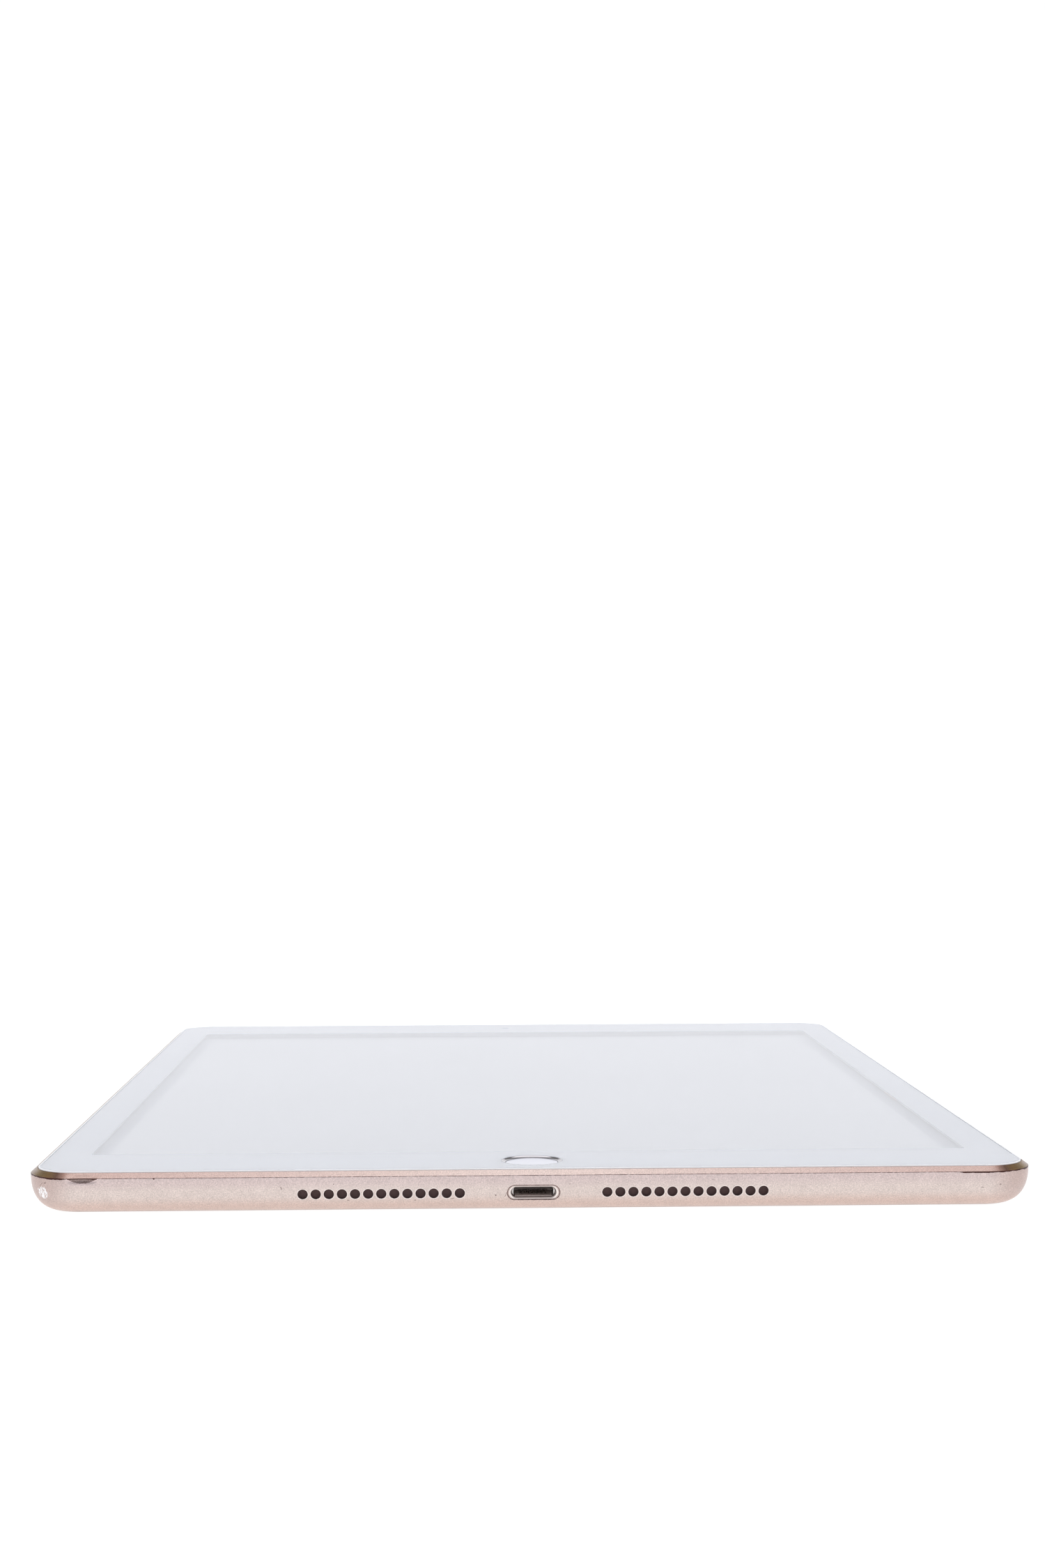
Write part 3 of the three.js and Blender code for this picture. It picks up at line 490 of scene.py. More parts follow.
def case_wall_material():
    nodes = Nodes("blasted rose-gold aluminium")
    height = nodes.axis("Z")
    across = nodes.axis("X")
    # Painted reflection and shade by height: greyer near the top edge, lighter mid-way, peach lower down.
    tint = nodes.mix(nodes.remap(height, 5.9, 3.9, smooth=True), CASE_TOP_TINT, CASE_MID_TINT)
    tint = nodes.mix(nodes.remap(height, 3.3, 1.2, smooth=True), tint, CASE_LOW_TINT)
    # Painted contact shade: a thin band just above the table is darker.
    contact_shade = nodes.times(nodes.remap(height, 0.5, 0.22), nodes.remap(height, 0.01, 0.05))
    tint = nodes.mix(contact_shade, tint, PAINTED_CONTACT_SHADE)
    # Painted shade: the wall's rounded corners are darker, by how they face.
    facing_x, facing_y = (nodes.component(nodes.facing, name) for name in ("X", "Y"))
    round_corner = nodes.math("ABSOLUTE", nodes.times(facing_x, facing_y))
    tint = nodes.mix(nodes.remap(round_corner, 0.08, 0.5), tint, CASE_CORNER_TINT)
    colour = blasted_metal(nodes, tint, 0.2, 0.2, 0.014, 0.42)

    # The edge under the chamfer is a thin broken dark line of painted shade in the crease, thicker and torn
    # near both corners, where the edge is chipped.
    torn = nodes.remap(nodes.noise(1.6, 4, 0.65), 0.35, 0.65, -0.06, 0.12)
    corner_left = nodes.remap(across, -79.0, -80.5)
    corner_right = nodes.remap(across, 72.8, 74.0)
    corners = nodes.math("MAXIMUM", corner_left, corner_right)
    width = nodes.math("ADD", 0.07, nodes.times(corners, nodes.math("ADD", 0.11, torn)))
    below = nodes.math("SUBTRACT", WALL_TOP, height)
    broken = nodes.remap(nodes.noise(0.5, 3), 0.3, 0.55, 0.25, 0.9)
    strength = nodes.math("MAXIMUM", broken, corners)
    line = nodes.times(nodes.math("LESS_THAN", below, width), strength)
    colour = nodes.mix(line, colour, DARK_MARK)

    # The nick: a lens of bare rough metal, dark along the edge and at its right-hand tip, over a lip.
    aside = nodes.math("DIVIDE", nodes.math("SUBTRACT", across, NICK_X), NICK_HALF)
    arch = nodes.math("SUBTRACT", 1.0, nodes.times(aside, aside))
    reach = nodes.times(arch, NICK_DROP)
    edge = nodes.remap(nodes.noise(0.25, 2), 0.3, 0.7, -0.05, 0.05)
    inside = nodes.remap(nodes.math("SUBTRACT", nodes.math("ADD", reach, edge), below), 0.0, 0.05)
    inside = nodes.times(inside, nodes.math("GREATER_THAN", arch, 0.0))
    grit = nodes.mix(nodes.remap(nodes.noise(0.16, 3), 0.35, 0.65), WORN_TINT, linear(170, 152, 148))
    colour = nodes.mix(inside, colour, grit)
    past = nodes.math("SUBTRACT", below, nodes.math("ADD", reach, edge))
    lip = nodes.times(nodes.remap(past, 0.16, 0.06), nodes.math("GREATER_THAN", past, 0.0))
    lip = nodes.times(lip, nodes.math("GREATER_THAN", arch, 0.0))
    colour = nodes.mix(lip, colour, NICK_LIP_TINT)
    crack = nodes.times(inside, nodes.math("LESS_THAN", below, 0.14))
    colour = nodes.mix(crack, colour, DARK_MARK)
    tip = nodes.mark((-75.0, -125.3, WALL_TOP - 0.05), (0.55, 1.5, 0.16))
    colour = nodes.mix(tip, colour, DARK_MARK)

    for marks, ragged, grain, stain in ((SPECKS, 0.3, 0.12, DARK_MARK), (SCRATCHES, 0.5, 0.2, WORN_TINT)):
        for centre, half, tilt, strength in marks:
            amount = nodes.times(nodes.mark(centre, half, tilt, ragged, grain), strength)
            colour = nodes.mix(amount, colour, stain)

    # A patch of white scuffing on the left-hand corner.
    scuff = nodes.mark((-84.0, -122.2, 3.75), (0.95, 2.4, 1.05), -28, 0.25, 0.5)
    streaks = nodes.remap(nodes.noise(0.22, 2, stretch=(1, 1, 0.3)), 0.42, 0.5)
    scuffed = nodes.times(scuff, streaks)
    colour = nodes.mix(scuffed, colour, linear(250, 248, 248))
    nodes.link(nodes.remap(scuffed, 0, 1, 1, 0), nodes.shader.inputs["Metallic"])
    nodes.colour(colour)
    return nodes.owner


def chamfer_material():
    """Peach along the straight edges, browner towards their ends, and dark round the corners, all painted
    reflection and shade.
    """
    nodes = Nodes("cut chamfer")
    from_middle = nodes.math("ABSOLUTE", nodes.axis("X"))
    # Painted shade: darker and browner from the middle towards both ends.
    tint = nodes.mix(nodes.remap(from_middle, 10, 78), CHAMFER_TINT, CHAMFER_END_TINT)
    # Painted reflection round the corners and along the long sides, by how far the chamfer faces sideways.
    sideways = nodes.math("ABSOLUTE", nodes.component(nodes.facing, "X"))
    lead_in = nodes.remap(from_middle, 68, 80, 0.0, 0.55)
    turned = nodes.math("MAXIMUM", nodes.remap(sideways, 0.02, 0.16), lead_in)
    tint = nodes.mix(turned, tint, nodes.ramp(sideways, CHAMFER_TURN))
    nodes.colour(blasted_metal(nodes, tint, 0.26, 0.18, 0.02, 0.34))
    return nodes.owner


def cut_rim_highlight_material():
    """The bright freshly cut rim of a hole, painted near white as a highlight."""
    nodes = Nodes("cut rim with painted highlight").set(Metallic=0.45)
    grain = nodes.noise(0.12, 2)
    nodes.colour(nodes.mix(grain, linear(240, 224, 216), linear(255, 248, 244)))
    nodes.rough(nodes.remap(grain, 0.3, 0.7, 0.3, 0.45))
    return nodes.owner


def gap_shade_material():
    """Painted shade: the dark, slightly torn line round the port's mouth and along the top of the rim, in the
    gaps there.
    """
    nodes = Nodes("painted gap shade").set(Metallic=0.7)
    torn = nodes.remap(nodes.noise(0.35, 4, 0.7), 0.42, 0.6)
    nodes.colour(nodes.mix(torn, linear(84, 64, 62), linear(150, 126, 120)))
    nodes.rough(nodes.remap(torn, 0, 1, 0.6, 0.45))
    nodes.bump(torn, 0.02)
    return nodes.owner


def machined_metal():
    nodes = Nodes("machined aluminium inside")
    nodes.set(Metallic=1.0)
    lines = nodes.noise(0.5, 3, stretch=(0.2, 4, 1))
    nodes.colour(nodes.mix(lines, linear(150, 132, 128), linear(196, 178, 172)))
    nodes.rough(nodes.remap(lines, 0.3, 0.7, 0.35, 0.5))
    nodes.bump(lines, 0.01)
    return nodes.owner


def plastic(name, colour, roughness, grain_mm=0.25, variation=0.12, depth_mm=0.004, **settings):
    """Moulded plastic, rubber, foam or a coating: a little uneven in colour, gloss and surface."""
    tint = linear(*colour)
    nodes = Nodes(name).set(**settings)
    mottle = nodes.noise(grain_mm * 12, 4)
    darker = tuple(c * (1 - variation) for c in tint)
    nodes.colour(nodes.mix(nodes.remap(mottle, 0.3, 0.7), darker, tint))
    grain = nodes.noise(grain_mm, 3)
    nodes.rough(nodes.remap(grain, 0.3, 0.7, roughness * 0.85, min(roughness * 1.15, 1)))
    nodes.bump(grain, depth_mm)
    return nodes.owner


def brushed_metal(name, colour, roughness, stretch=(0.1, 3, 1), size_mm=0.3):
    """Drawn or stamped metal with fine lines."""
    tint = linear(*colour)
    nodes = Nodes(name).set(Metallic=1.0)
    lines = nodes.noise(size_mm, 3, stretch=stretch)
    nodes.colour(nodes.mix(nodes.remap(lines, 0.3, 0.7), tuple(c * 0.82 for c in tint), tint))
    nodes.rough(nodes.remap(lines, 0.3, 0.7, roughness * 0.8, roughness * 1.25))
    nodes.bump(lines, 0.003)
    return nodes.owner


def glass_material():
    nodes = Nodes("cover glass").set(IOR=1.5, Transmission_Weight=1.0)
    smudge = nodes.noise(14, 4, 0.6)
    nodes.colour((0.985, 0.99, 0.995))
    nodes.rough(nodes.remap(smudge, 0.55, 0.75, 0.0, 0.035))
    return nodes.owner


def picture_material():
    """The lit picture: an even pale grey page, a touch uneven as backlights are."""
    nodes = Nodes("lit display picture").set(Roughness=0.5, Specular_IOR_Level=0.0)
    cloud = nodes.remap(nodes.noise(60, 2), 0.3, 0.7)
    tint = nodes.mix(cloud, linear(152, 154, 158), linear(157, 159, 163))
    nodes.colour(tint)
    nodes.link(tint, nodes.shader.inputs["Emission Color"])
    nodes.set(Emission_Strength=0.55)
    return nodes.owner


def circuit_board():
    """Solder mask with raised copper tracks and pads."""
    nodes = Nodes("circuit board")
    tracks = nodes.node("TexBrick", offset=0.5)
    nodes.link(nodes.place, tracks.inputs["Vector"])
    tracks.inputs["Scale"].default_value = 420
    tracks.inputs["Mortar Size"].default_value = 0.03
    tracks.inputs["Color1"].default_value = (*linear(28, 60, 51), 1)
    tracks.inputs["Color2"].default_value = (*linear(34, 70, 60), 1)
    tracks.inputs["Mortar"].default_value = (*linear(60, 102, 84), 1)
    pads = nodes.node("TexVoronoi", feature="F1")
    nodes.link(nodes.place, pads.inputs["Vector"])
    pads.inputs["Scale"].default_value = 700
    pad = nodes.math("LESS_THAN", pads.outputs["Distance"], 0.16)
    nodes.colour(nodes.mix(pad, tracks.outputs["Color"], linear(201, 168, 104)))
    nodes.rough(nodes.remap(nodes.noise(0.6), 0.3, 0.7, 0.3, 0.45))
    nodes.bump(tracks.outputs["Fac"], 0.01)
    return nodes.owner


def flex_circuit():
    """Amber film with fine parallel copper tracks."""
    nodes = Nodes("flexible circuit")
    waves = nodes.node("TexWave", wave_type="BANDS", bands_direction="DIAGONAL")
    nodes.link(nodes.place, waves.inputs["Vector"])
    waves.inputs["Scale"].default_value = 260
    waves.inputs["Distortion"].default_value = 0.4
    nodes.colour(nodes.mix(waves.outputs["Fac"], linear(176, 98, 38), linear(203, 134, 66)))
    nodes.rough(nodes.remap(nodes.noise(0.8), 0.3, 0.7, 0.3, 0.45))
    nodes.bump(waves.outputs["Fac"], 0.01)
    return nodes.owner


def woven_mesh():
    """Fine dark wire cloth: crossed wires with darker gaps."""
    nodes = Nodes("speaker mesh").set(Metallic=0.6)
    turned = nodes.node("VectorRotate", rotation_type="Y_AXIS")
    nodes.link(nodes.place, turned.inputs["Vector"])
    turned.inputs["Angle"].default_value = math.radians(45)
    wires = []
    for direction in ("X", "Z"):
        waves = nodes.node("TexWave", wave_type="BANDS", bands_direction=direction)
        nodes.link(turned.outputs[0], waves.inputs["Vector"])
        waves.inputs["Scale"].default_value = 1700
        wires.append(waves.outputs["Fac"])
    weave = nodes.times(*wires)
    nodes.colour(nodes.mix(weave, linear(82, 62, 62), linear(150, 128, 126)))
    nodes.rough(nodes.remap(weave, 0, 1, 0.8, 0.5))
    nodes.bump(weave, 0.03)
    return nodes.owner


CASE_WALL = case_wall_material()
CHAMFER = chamfer_material()
CUT_RIM_HIGHLIGHT = cut_rim_highlight_material()
GAP_SHADE = gap_shade_material()
MACHINED = machined_metal()
GLASS = glass_material()
WHITE_PRINT = plastic("white print under the glass", (250, 252, 255), 0.45, 0.6, 0.015, 0.0005)
WHITE_GASKET = plastic("white gasket", (254, 254, 254), 0.4, 0.2, 0.01)
BLACK_TAPE = plastic("black adhesive tape", (40, 40, 42), 0.8, 0.3, 0.25, 0.02)
PICTURE = picture_material()
# The display border's grey is partly the panel's own unlit rim and partly painted reflection of the print's
# edge.
PANEL_BORDER = plastic("display border", (172, 175, 184), 0.5, 0.4, 0.05, Specular_IOR_Level=0.0)
WINDOW_EDGE = plastic("grey edge of the print", (92, 94, 104), 0.5, 0.4, 0.05)
FOAM = plastic("grey foam", (160, 163, 172), 0.9, 0.35, 0.15, 0.04)
DIFFUSER = plastic("backlight diffuser", (242, 242, 238), 0.5, 0.5, 0.04)
STEEL = brushed_metal("stamped steel", (196, 197, 200), 0.32)
SCREW_STEEL = brushed_metal("turned screw steel", (176, 177, 182), 0.28, (3, 3, 0.2), 0.15)
RING_METAL = brushed_metal("polished ring metal", (206, 202, 202), 0.12, (1, 1, 4), 0.2)
LATCH_METAL = brushed_metal("nickel spring", (236, 234, 232), 0.2, (1, 0.2, 3), 0.2)
CRYSTAL = plastic(
    "white button crystal", (214, 214, 224), 0.12, 0.8, 0.02, 0.0003, Coat_Weight=0.5, Coat_Roughness=0.02
)
FLEX = flex_circuit()
RUBBER = plastic("black rubber", (48, 48, 50), 0.85, 0.2, 0.2, 0.015)
CHIP = plastic("chip package", (30, 31, 33), 0.5, 0.12, 0.25, 0.01)
BOARD = circuit_board()
BATTERY = plastic("battery wrap", (44, 45, 48), 0.45, 2.5, 0.3, 0.06)
BLACK_PLASTIC = plastic("black moulding", (34, 35, 36), 0.5, 0.2, 0.2, 0.01)
PORT_PLASTIC = plastic("port liner", (212, 198, 192), 0.55, 0.15, 0.2, 0.01)
MESH = woven_mesh()
GOLD = brushed_metal("gold plate", (212, 172, 100), 0.25, (1, 0.2, 1), 0.2)
CONTACT = brushed_metal("worn contacts", (134, 126, 118), 0.35, (1, 0.2, 1), 0.2)
LENS = plastic("coated lens", (16, 18, 26), 0.06, 0.8, 0.3, 0.0002, Coat_Weight=1.0, Coat_Roughness=0.0)


# ---------- rear case

WALL_ZONE, CHAMFER_ZONE, INSIDE_ZONE, HIGHLIGHT_ZONE, GAP_SHADE_ZONE = range(5)
GAP_SHADE_STEPS = 4  # the last steps of the rim's rounding, painted dark as shade in the gap by the gasket
CLOSE = 1e-6  # heights and places nearer than this are the same


class Opening:
    """A hole through a straight wall, set in a cell of the wall's grid that is cut away round it."""

    def __init__(self, edge, place, level, half_cell, rows, steps, rims, end_inset):
        self.edge, self.place, self.level = edge, place, level
        self.half_cell, self.rows, self.steps = half_cell, rows, steps
        self.rims = rims  # rings from the wall inwards: length, height, depth, zone up to the ring
        self.end_inset = end_inset

    def stations(self):
        return np.linspace(self.place - self.half_cell, self.place + self.half_cell, self.steps + 1)


def rounded_rims(length, height, radius, zone, steps=3):
    """The rims of a slot whose edge is rounded over."""
    rims = []
    for angle in np.linspace(0, math.pi / 2, steps + 1):
        grow = 2 * radius * (1 - math.sin(angle))
        rims.append((length + grow, height + grow, radius * (1 - math.cos(angle)), zone))
    rims[0] = (*rims[0][:3], WALL_ZONE)
    return rims


LOW_ROW, MID_ROW, HIGH_ROW = INNER_BEND, 4.64, 5.6
PORT_CELL, KEY_CELL, JACK_CELL, MICROPHONE_CELL = 5.6, 6.2, 3.0, 1.2
hole_size = 2 * HOLE_RADIUS
# The speaker holes' rounded rims are cut metal painted near white as a highlight.
OPENINGS = [
    Opening(NEAR, side * (HOLE_FIRST + i * HOLE_PITCH), PORT_LEVEL, HOLE_PITCH / 2, (LOW_ROW, MID_ROW), 8,
            rounded_rims(hole_size, hole_size, 0.13, HIGHLIGHT_ZONE), SPEAKER_WALL)
    for side in (-1, 1)
    for i in range(HOLE_COUNT)
]
# The port's mouth: a dark outer ring and a thin dark line of painted shade, with a band of wall between, then
# a bevel painted near white as a highlight.
port_rims = [
    (9.16, 2.8, 0.0, WALL_ZONE),
    (9.04, 2.68, 0.04, GAP_SHADE_ZONE),
    (8.86, 2.52, 0.12, GAP_SHADE_ZONE),
    (8.6, 2.38, 0.2, WALL_ZONE),
    (8.54, 2.33, 0.22, GAP_SHADE_ZONE),
    (7.96, 2.06, 0.38, HIGHLIGHT_ZONE),
    (7.84, 1.98, 0.44, HIGHLIGHT_ZONE),
    (7.8, 1.96, 0.52, HIGHLIGHT_ZONE),
]
OPENINGS.append(Opening(NEAR, 0.0, PORT_LEVEL, PORT_CELL, (1.6, HIGH_ROW - 0.64), 40, port_rims, PORT_WALL))
slot_rims = rounded_rims(BUTTON_LENGTH + 0.2, BUTTON_HEIGHT + 0.2, 0.1, WALL_ZONE)
for edge, place in ((FAR, -POWER_X), (RIGHT, VOLUME_YS[0]), (RIGHT, VOLUME_YS[1])):
    slot = Opening(edge, place, BUTTON_LEVEL, KEY_CELL, (LOW_ROW, HIGH_ROW), 40, slot_rims, INNER_WALL)
    OPENINGS.append(slot)
# The jack's and microphone's rounded rims are cut metal painted near white as a highlight.
jack_rims = rounded_rims(2 * JACK_RADIUS, 2 * JACK_RADIUS, 0.2, HIGHLIGHT_ZONE)
microphone_rims = rounded_rims(1, 1, 0.05, HIGHLIGHT_ZONE)
OPENINGS += [
    Opening(FAR, -JACK_X, JACK_LEVEL, JACK_CELL, (INNER_FOOT, HIGH_ROW), 16, jack_rims, INNER_WALL),
    Opening(FAR, 0.0, PORT_LEVEL, MICROPHONE_CELL, (LOW_ROW, MID_ROW), 8, microphone_rims, INNER_WALL),
]


def case_stations(edge):
    """Where the grid's columns stand along a straight edge: fine at openings and beside the nick."""
    half = HALF_ALONG[edge] - CORNER_RADIUS
    spans = sorted((o.stations() for o in OPENINGS if o.edge == edge), key=lambda s: s[0])
    places, here = [-half], -half
    for span in spans + [np.array([half])]:
        gap = span[0] - here
        if gap > CLOSE:
            places.extend(np.linspace(here, span[0], max(1, math.ceil(gap / 1.2)) + 1)[1:])
        places.extend(span[1:])
        here = span[-1]
    if edge == NEAR:
        places = [p for p in places if p > -72] + list(np.linspace(-half, -72, 32))
    return sorted({round(float(p), 4) for p in places})


def wall_rows():
    foot = [0, 0.008, 0.025, 0.055, 0.1, 0.16, 0.24, 0.34, 0.46, 0.6, 0.76, 0.94, 1.14]
    grid = [INNER_FOOT, 1.6, 1.8, 2.0]
    grid += list(np.linspace(LOW_ROW, MID_ROW, 9))
    grid += [4.96, 5.28, HIGH_ROW]
    grid += [WALL_TOP - drop for drop in (0.65, 0.52, 0.41, 0.31, 0.22, 0.14, 0.08)]
    return [round(float(z), 4) for z in foot + grid]


def nick_push(bases, z):
    """How far the blow that made the nick pushed each column in at a height."""
    aside = (bases[:, 0] - NICK_X) / NICK_HALF
    near = bases[:, 1] < -HALF_Y + CORNER_RADIUS
    across = np.clip(1 - aside**2, 0, None)
    span = np.clip(1 - ((z - WALL_TOP + 0.15) / 0.75) ** 2, 0, None)
    return np.where(near, NICK_DEPTH * across * span, 0.0)


def cell_ring(loop, length, height, amount):
    """Points between a cell's boundary (amount 0) and the slot in its middle (amount 1)."""
    radius = height / 2
    core = length / 2 - radius
    ring = []
    for u, v in loop:
        middle = min(max(u, -core), core)
        reach = math.hypot(u - middle, v)
        target = (middle + radius * (u - middle) / reach, radius * v / reach)
        ring.append((u + (target[0] - u) * amount, v + (target[1] - v) * amount))
    return ring


def cell_boundary(rows, columns):
    """Point numbers round a cell of the grid, counter-clockwise seen from outside."""
    lower = [rows[0][c] for c in columns]
    right = [row[columns[-1]] for row in rows[1:-1]]
    upper = [rows[-1][c] for c in reversed(columns)]
    left = [row[columns[0]] for row in reversed(rows[1:-1])]
    return lower + right + upper + left


def add_opening(surface, opening, outer, inner, outline):
    """Fills the cell cut from the outer and inner walls and joins them with the hole's own wall."""
    columns = [outline.column_of[opening.edge, round(float(p), 4)] for p in opening.stations()]
    heights = [z for z in sorted(outer) if opening.rows[0] - CLOSE <= z <= opening.rows[1] + CLOSE]
    out_loop = cell_boundary([outer[z] for z in heights], columns)
    in_loop = cell_boundary([inner[z] for z in heights], columns)
    along = ALONG[opening.edge]
    loop = [
        (float(np.dot(surface.points[i][:2], along)) - opening.place, surface.points[i][2] - opening.level)
        for i in out_loop
    ]

    def placed(ring, inset_at):
        return surface.ring(
            edge_point(opening.edge, opening.place + u, inset_at(opening.level + v), opening.level + v)
            for u, v in ring
        )

    length, height = opening.rims[0][:2]
    previous = out_loop
    for amount in (0.3, 0.55, 0.75, 0.9):
        row = placed(cell_ring(loop, length, height, amount), wall_inset)
        surface.bridge(previous, row, WALL_ZONE)
        previous = row
    for length, height, depth, zone in opening.rims:
        row = placed(cell_ring(loop, length, height, 1), lambda z, d=depth: wall_inset(z) + d)
        surface.bridge(previous, row, zone)
        previous = row
    end = placed(cell_ring(loop, length, height, 1), lambda z: opening.end_inset)
    surface.bridge(previous, end, INSIDE_ZONE)
    middle = placed(cell_ring(loop, length, height, 0.5), lambda z: max(inner_inset(z), opening.end_inset))
    surface.bridge(end, middle, INSIDE_ZONE)
    surface.bridge(middle, in_loop, INSIDE_ZONE)
    return columns, heights


def rear_case():
    outline = Outline([case_stations(edge) for edge in range(4)], corner_steps=40)
    surface = Surface()
    heights = wall_rows()
    outer = {z: surface.ring(outline.ring(wall_inset(z) + nick_push(outline.bases, z), z)) for z in heights}
    lower_edge = fillet((0, WALL_TOP), (0, 1), (1, CHAMFER_SLOPE), 0.08, 4)
    rim_corner = (RIM_INSET, WALL_TOP + CHAMFER_SLOPE * RIM_INSET)
    upper_edge = fillet(rim_corner, (1, CHAMFER_SLOPE), (0, -1), 0.09, 8)
    start, end = lower_edge[-1], upper_edge[0]
    slope = [tuple(np.array(start) + (np.array(end) - start) * t) for t in (0.12, 0.25, 0.4, 0.6, 0.8)]

    def lip_ring(inset, z):
        return surface.ring(outline.ring(inset + nick_push(outline.bases, z), z))

    edge_rows = [outer[heights[-1]]] + [lip_ring(*p) for p in lower_edge]
    surface.join(edge_rows, WALL_ZONE)
    chamfer_rows = [edge_rows[-1]] + [lip_ring(*p) for p in slope + upper_edge]
    surface.join(chamfer_rows[:-GAP_SHADE_STEPS], CHAMFER_ZONE)
    # The last steps of the rim's rounding are painted dark as shade in the gap by the gasket.
    surface.join(chamfer_rows[-GAP_SHADE_STEPS - 1 :], GAP_SHADE_ZONE)
    pocket = [(RIM_INSET, LEDGE_TOP), (LEDGE_INSET, LEDGE_TOP), (LEDGE_INSET, LEDGE_LOW)]
    inner_rows = [chamfer_rows[-1]] + surface.stack([outline.ring(*p) for p in pocket], INSIDE_ZONE)
    # The rim's inner face is painted shade too.
    surface.bridge(inner_rows[0], inner_rows[1], GAP_SHADE_ZONE)

    inside_heights = [z for z in heights if INNER_FOOT - CLOSE <= z <= HIGH_ROW + CLOSE]
    inner = {z: surface.ring(outline.ring(inner_inset(z), z)) for z in inside_heights}
    surface.bridge(inner_rows[-1], inner[inside_heights[-1]], INSIDE_ZONE)

    open_cells = {}
    for opening in OPENINGS:
        columns, rows = add_opening(surface, opening, outer, inner, outline)
        for z in rows[:-1]:
            open_cells.setdefault(z, set()).update(columns[:-1])
    for low, high in zip(heights, heights[1:]):
        surface.bridge(outer[low], outer[high], WALL_ZONE, open_cells.get(low, ()))
    for low, high in zip(inside_heights, inside_heights[1:]):
        skip = open_cells.get(low, ())
        surface.bridge(inner[high], inner[low], INSIDE_ZONE, skip)

    floor = surface.ring(outline.ring(inner_inset(FLOOR), FLOOR))
    surface.bridge(inner[inside_heights[0]], floor, INSIDE_ZONE)
    holes = [(CAMERA_HOLE, CAMERA_X, 48), (BACK_MICROPHONE_RADIUS, BACK_MICROPHONE_X, 16)]
    through = [
        surface.stack([circle(radius, x, CAMERA_Y, z, steps) for z in (FLOOR, 0)], WALL_ZONE)
        for radius, x, steps in holes
    ]
    surface.cap([floor] + [rows[0] for rows in through], INSIDE_ZONE)
    surface.cap([outer[0]] + [rows[1] for rows in through], WALL_ZONE, up=False)
    return surface


CASE_MATERIALS = [CASE_WALL, CHAMFER, MACHINED, CUT_RIM_HIGHLIGHT, GAP_SHADE]
make_piece("aluminium_case", rear_case(), CASE_MATERIALS, ["rear_case"])


# ---------- glass, print, gasket, display

front_outline = Outline(corner_steps=40)


def rectangle(half_x, half_y, z):
    corners = ((-1, -1), (1, -1), (1, 1), (-1, 1))
    return [(x * half_x, y * half_y, z) for x, y in corners]


def glass_plate():
    surface = Surface()
    edge = [(GLASS_INSET + 0.1, GLASS_LOW), (GLASS_INSET, GLASS_LOW + 0.1)]
    edge += fillet((GLASS_INSET, TOP), (0, 1), (1, 0), 0.12, 5)
    rows = surface.stack([front_outline.ring(*p) for p in edge])
    hole = [(HOME_RADIUS + 0.08, TOP), (HOME_RADIUS + 0.02, TOP - 0.02), (HOME_RADIUS, TOP - 0.08)]
    hole += [(HOME_RADIUS, GLASS_LOW)]
    hole_rows = surface.stack([circle(r, 0, HOME_Y, z, 128) for r, z in hole])
    surface.cap([rows[-1], hole_rows[0]])
    surface.cap([rows[0], hole_rows[-1]], up=False)
    return surface


GLASS_PARTS = ["cover_glass", "touch_sensor"]
make_piece("glass_front", glass_plate(), [GLASS], GLASS_PARTS)


def printed_border():
    """The print under the glass. It reaches a hair into it, so no air is between them."""
    surface = Surface()
    low, high = PRINT_LOW, GLASS_LOW + 0.01
    outer = surface.stack([front_outline.ring(GLASS_INSET + 0.15, z) for z in (low, high)])
    window = surface.stack([rectangle(WINDOW_X, WINDOW_Y, z) for z in (high, low)], 1)
    button = surface.stack([circle(HOME_RADIUS + 0.02, 0, HOME_Y, z, 96) for z in (high, low)])
    camera = surface.stack([circle(1.0, 0, FRONT_CAMERA_Y, z, 32) for z in (high, low)])
    surface.cap([outer[1], window[0], button[0], camera[0]])
    surface.cap([outer[0], window[1], button[1], camera[1]], up=False)
    return surface


PRINT_MATERIALS = [WHITE_PRINT, WINDOW_EDGE]
make_piece("white_border", printed_border(), PRINT_MATERIALS, ["border_print"])


def gasket_ring():
    surface = Surface()
    outer, inner, foot = RIM_INSET + 0.05, GLASS_INSET - 0.02, LEDGE_INSET - 0.4
    top, under_print, low = 7.49, PRINT_LOW - 0.05, LEDGE_TOP + 0.13
    profile = [(outer, low)]
    profile += fillet((outer, top), (0, 1), (1, 0), 0.09, 4)
    profile += fillet((inner, top), (1, 0), (0, -1), 0.09, 4)
    profile += [(inner, under_print), (foot, under_print), (foot, low)]
    rows = surface.stack([front_outline.ring(*p) for p in profile])
    surface.bridge(rows[-1], rows[0])
    return surface


make_piece("white_gasket", gasket_ring(), [WHITE_GASKET], ["bezel_gasket"])


def display_panel():
    """The panel with its picture area let into the top face."""
    surface = Surface()
    bevel = 0.05
    steps = [(0, LCD_LOW), (0, LCD_TOP - bevel), (bevel, LCD_TOP)]
    sides = surface.stack([rectangle(LCD_X - inset, LCD_Y - inset, z) for inset, z in steps])
    picture = surface.ring(rectangle(PICTURE_X, PICTURE_Y, LCD_TOP))
    # The border round the picture is partly painted reflection of the print's edge.
    surface.bridge(sides[-1], picture, 1)
    surface.face(picture, 0)
    surface.face(sides[0][::-1], 1)
    return surface


PANEL_MATERIALS = [PICTURE, PANEL_BORDER]
make_piece("display_panel", display_panel(), PANEL_MATERIALS, ["lcd_cell"])


# ---------- home button

HOME_BODY = "home_button"

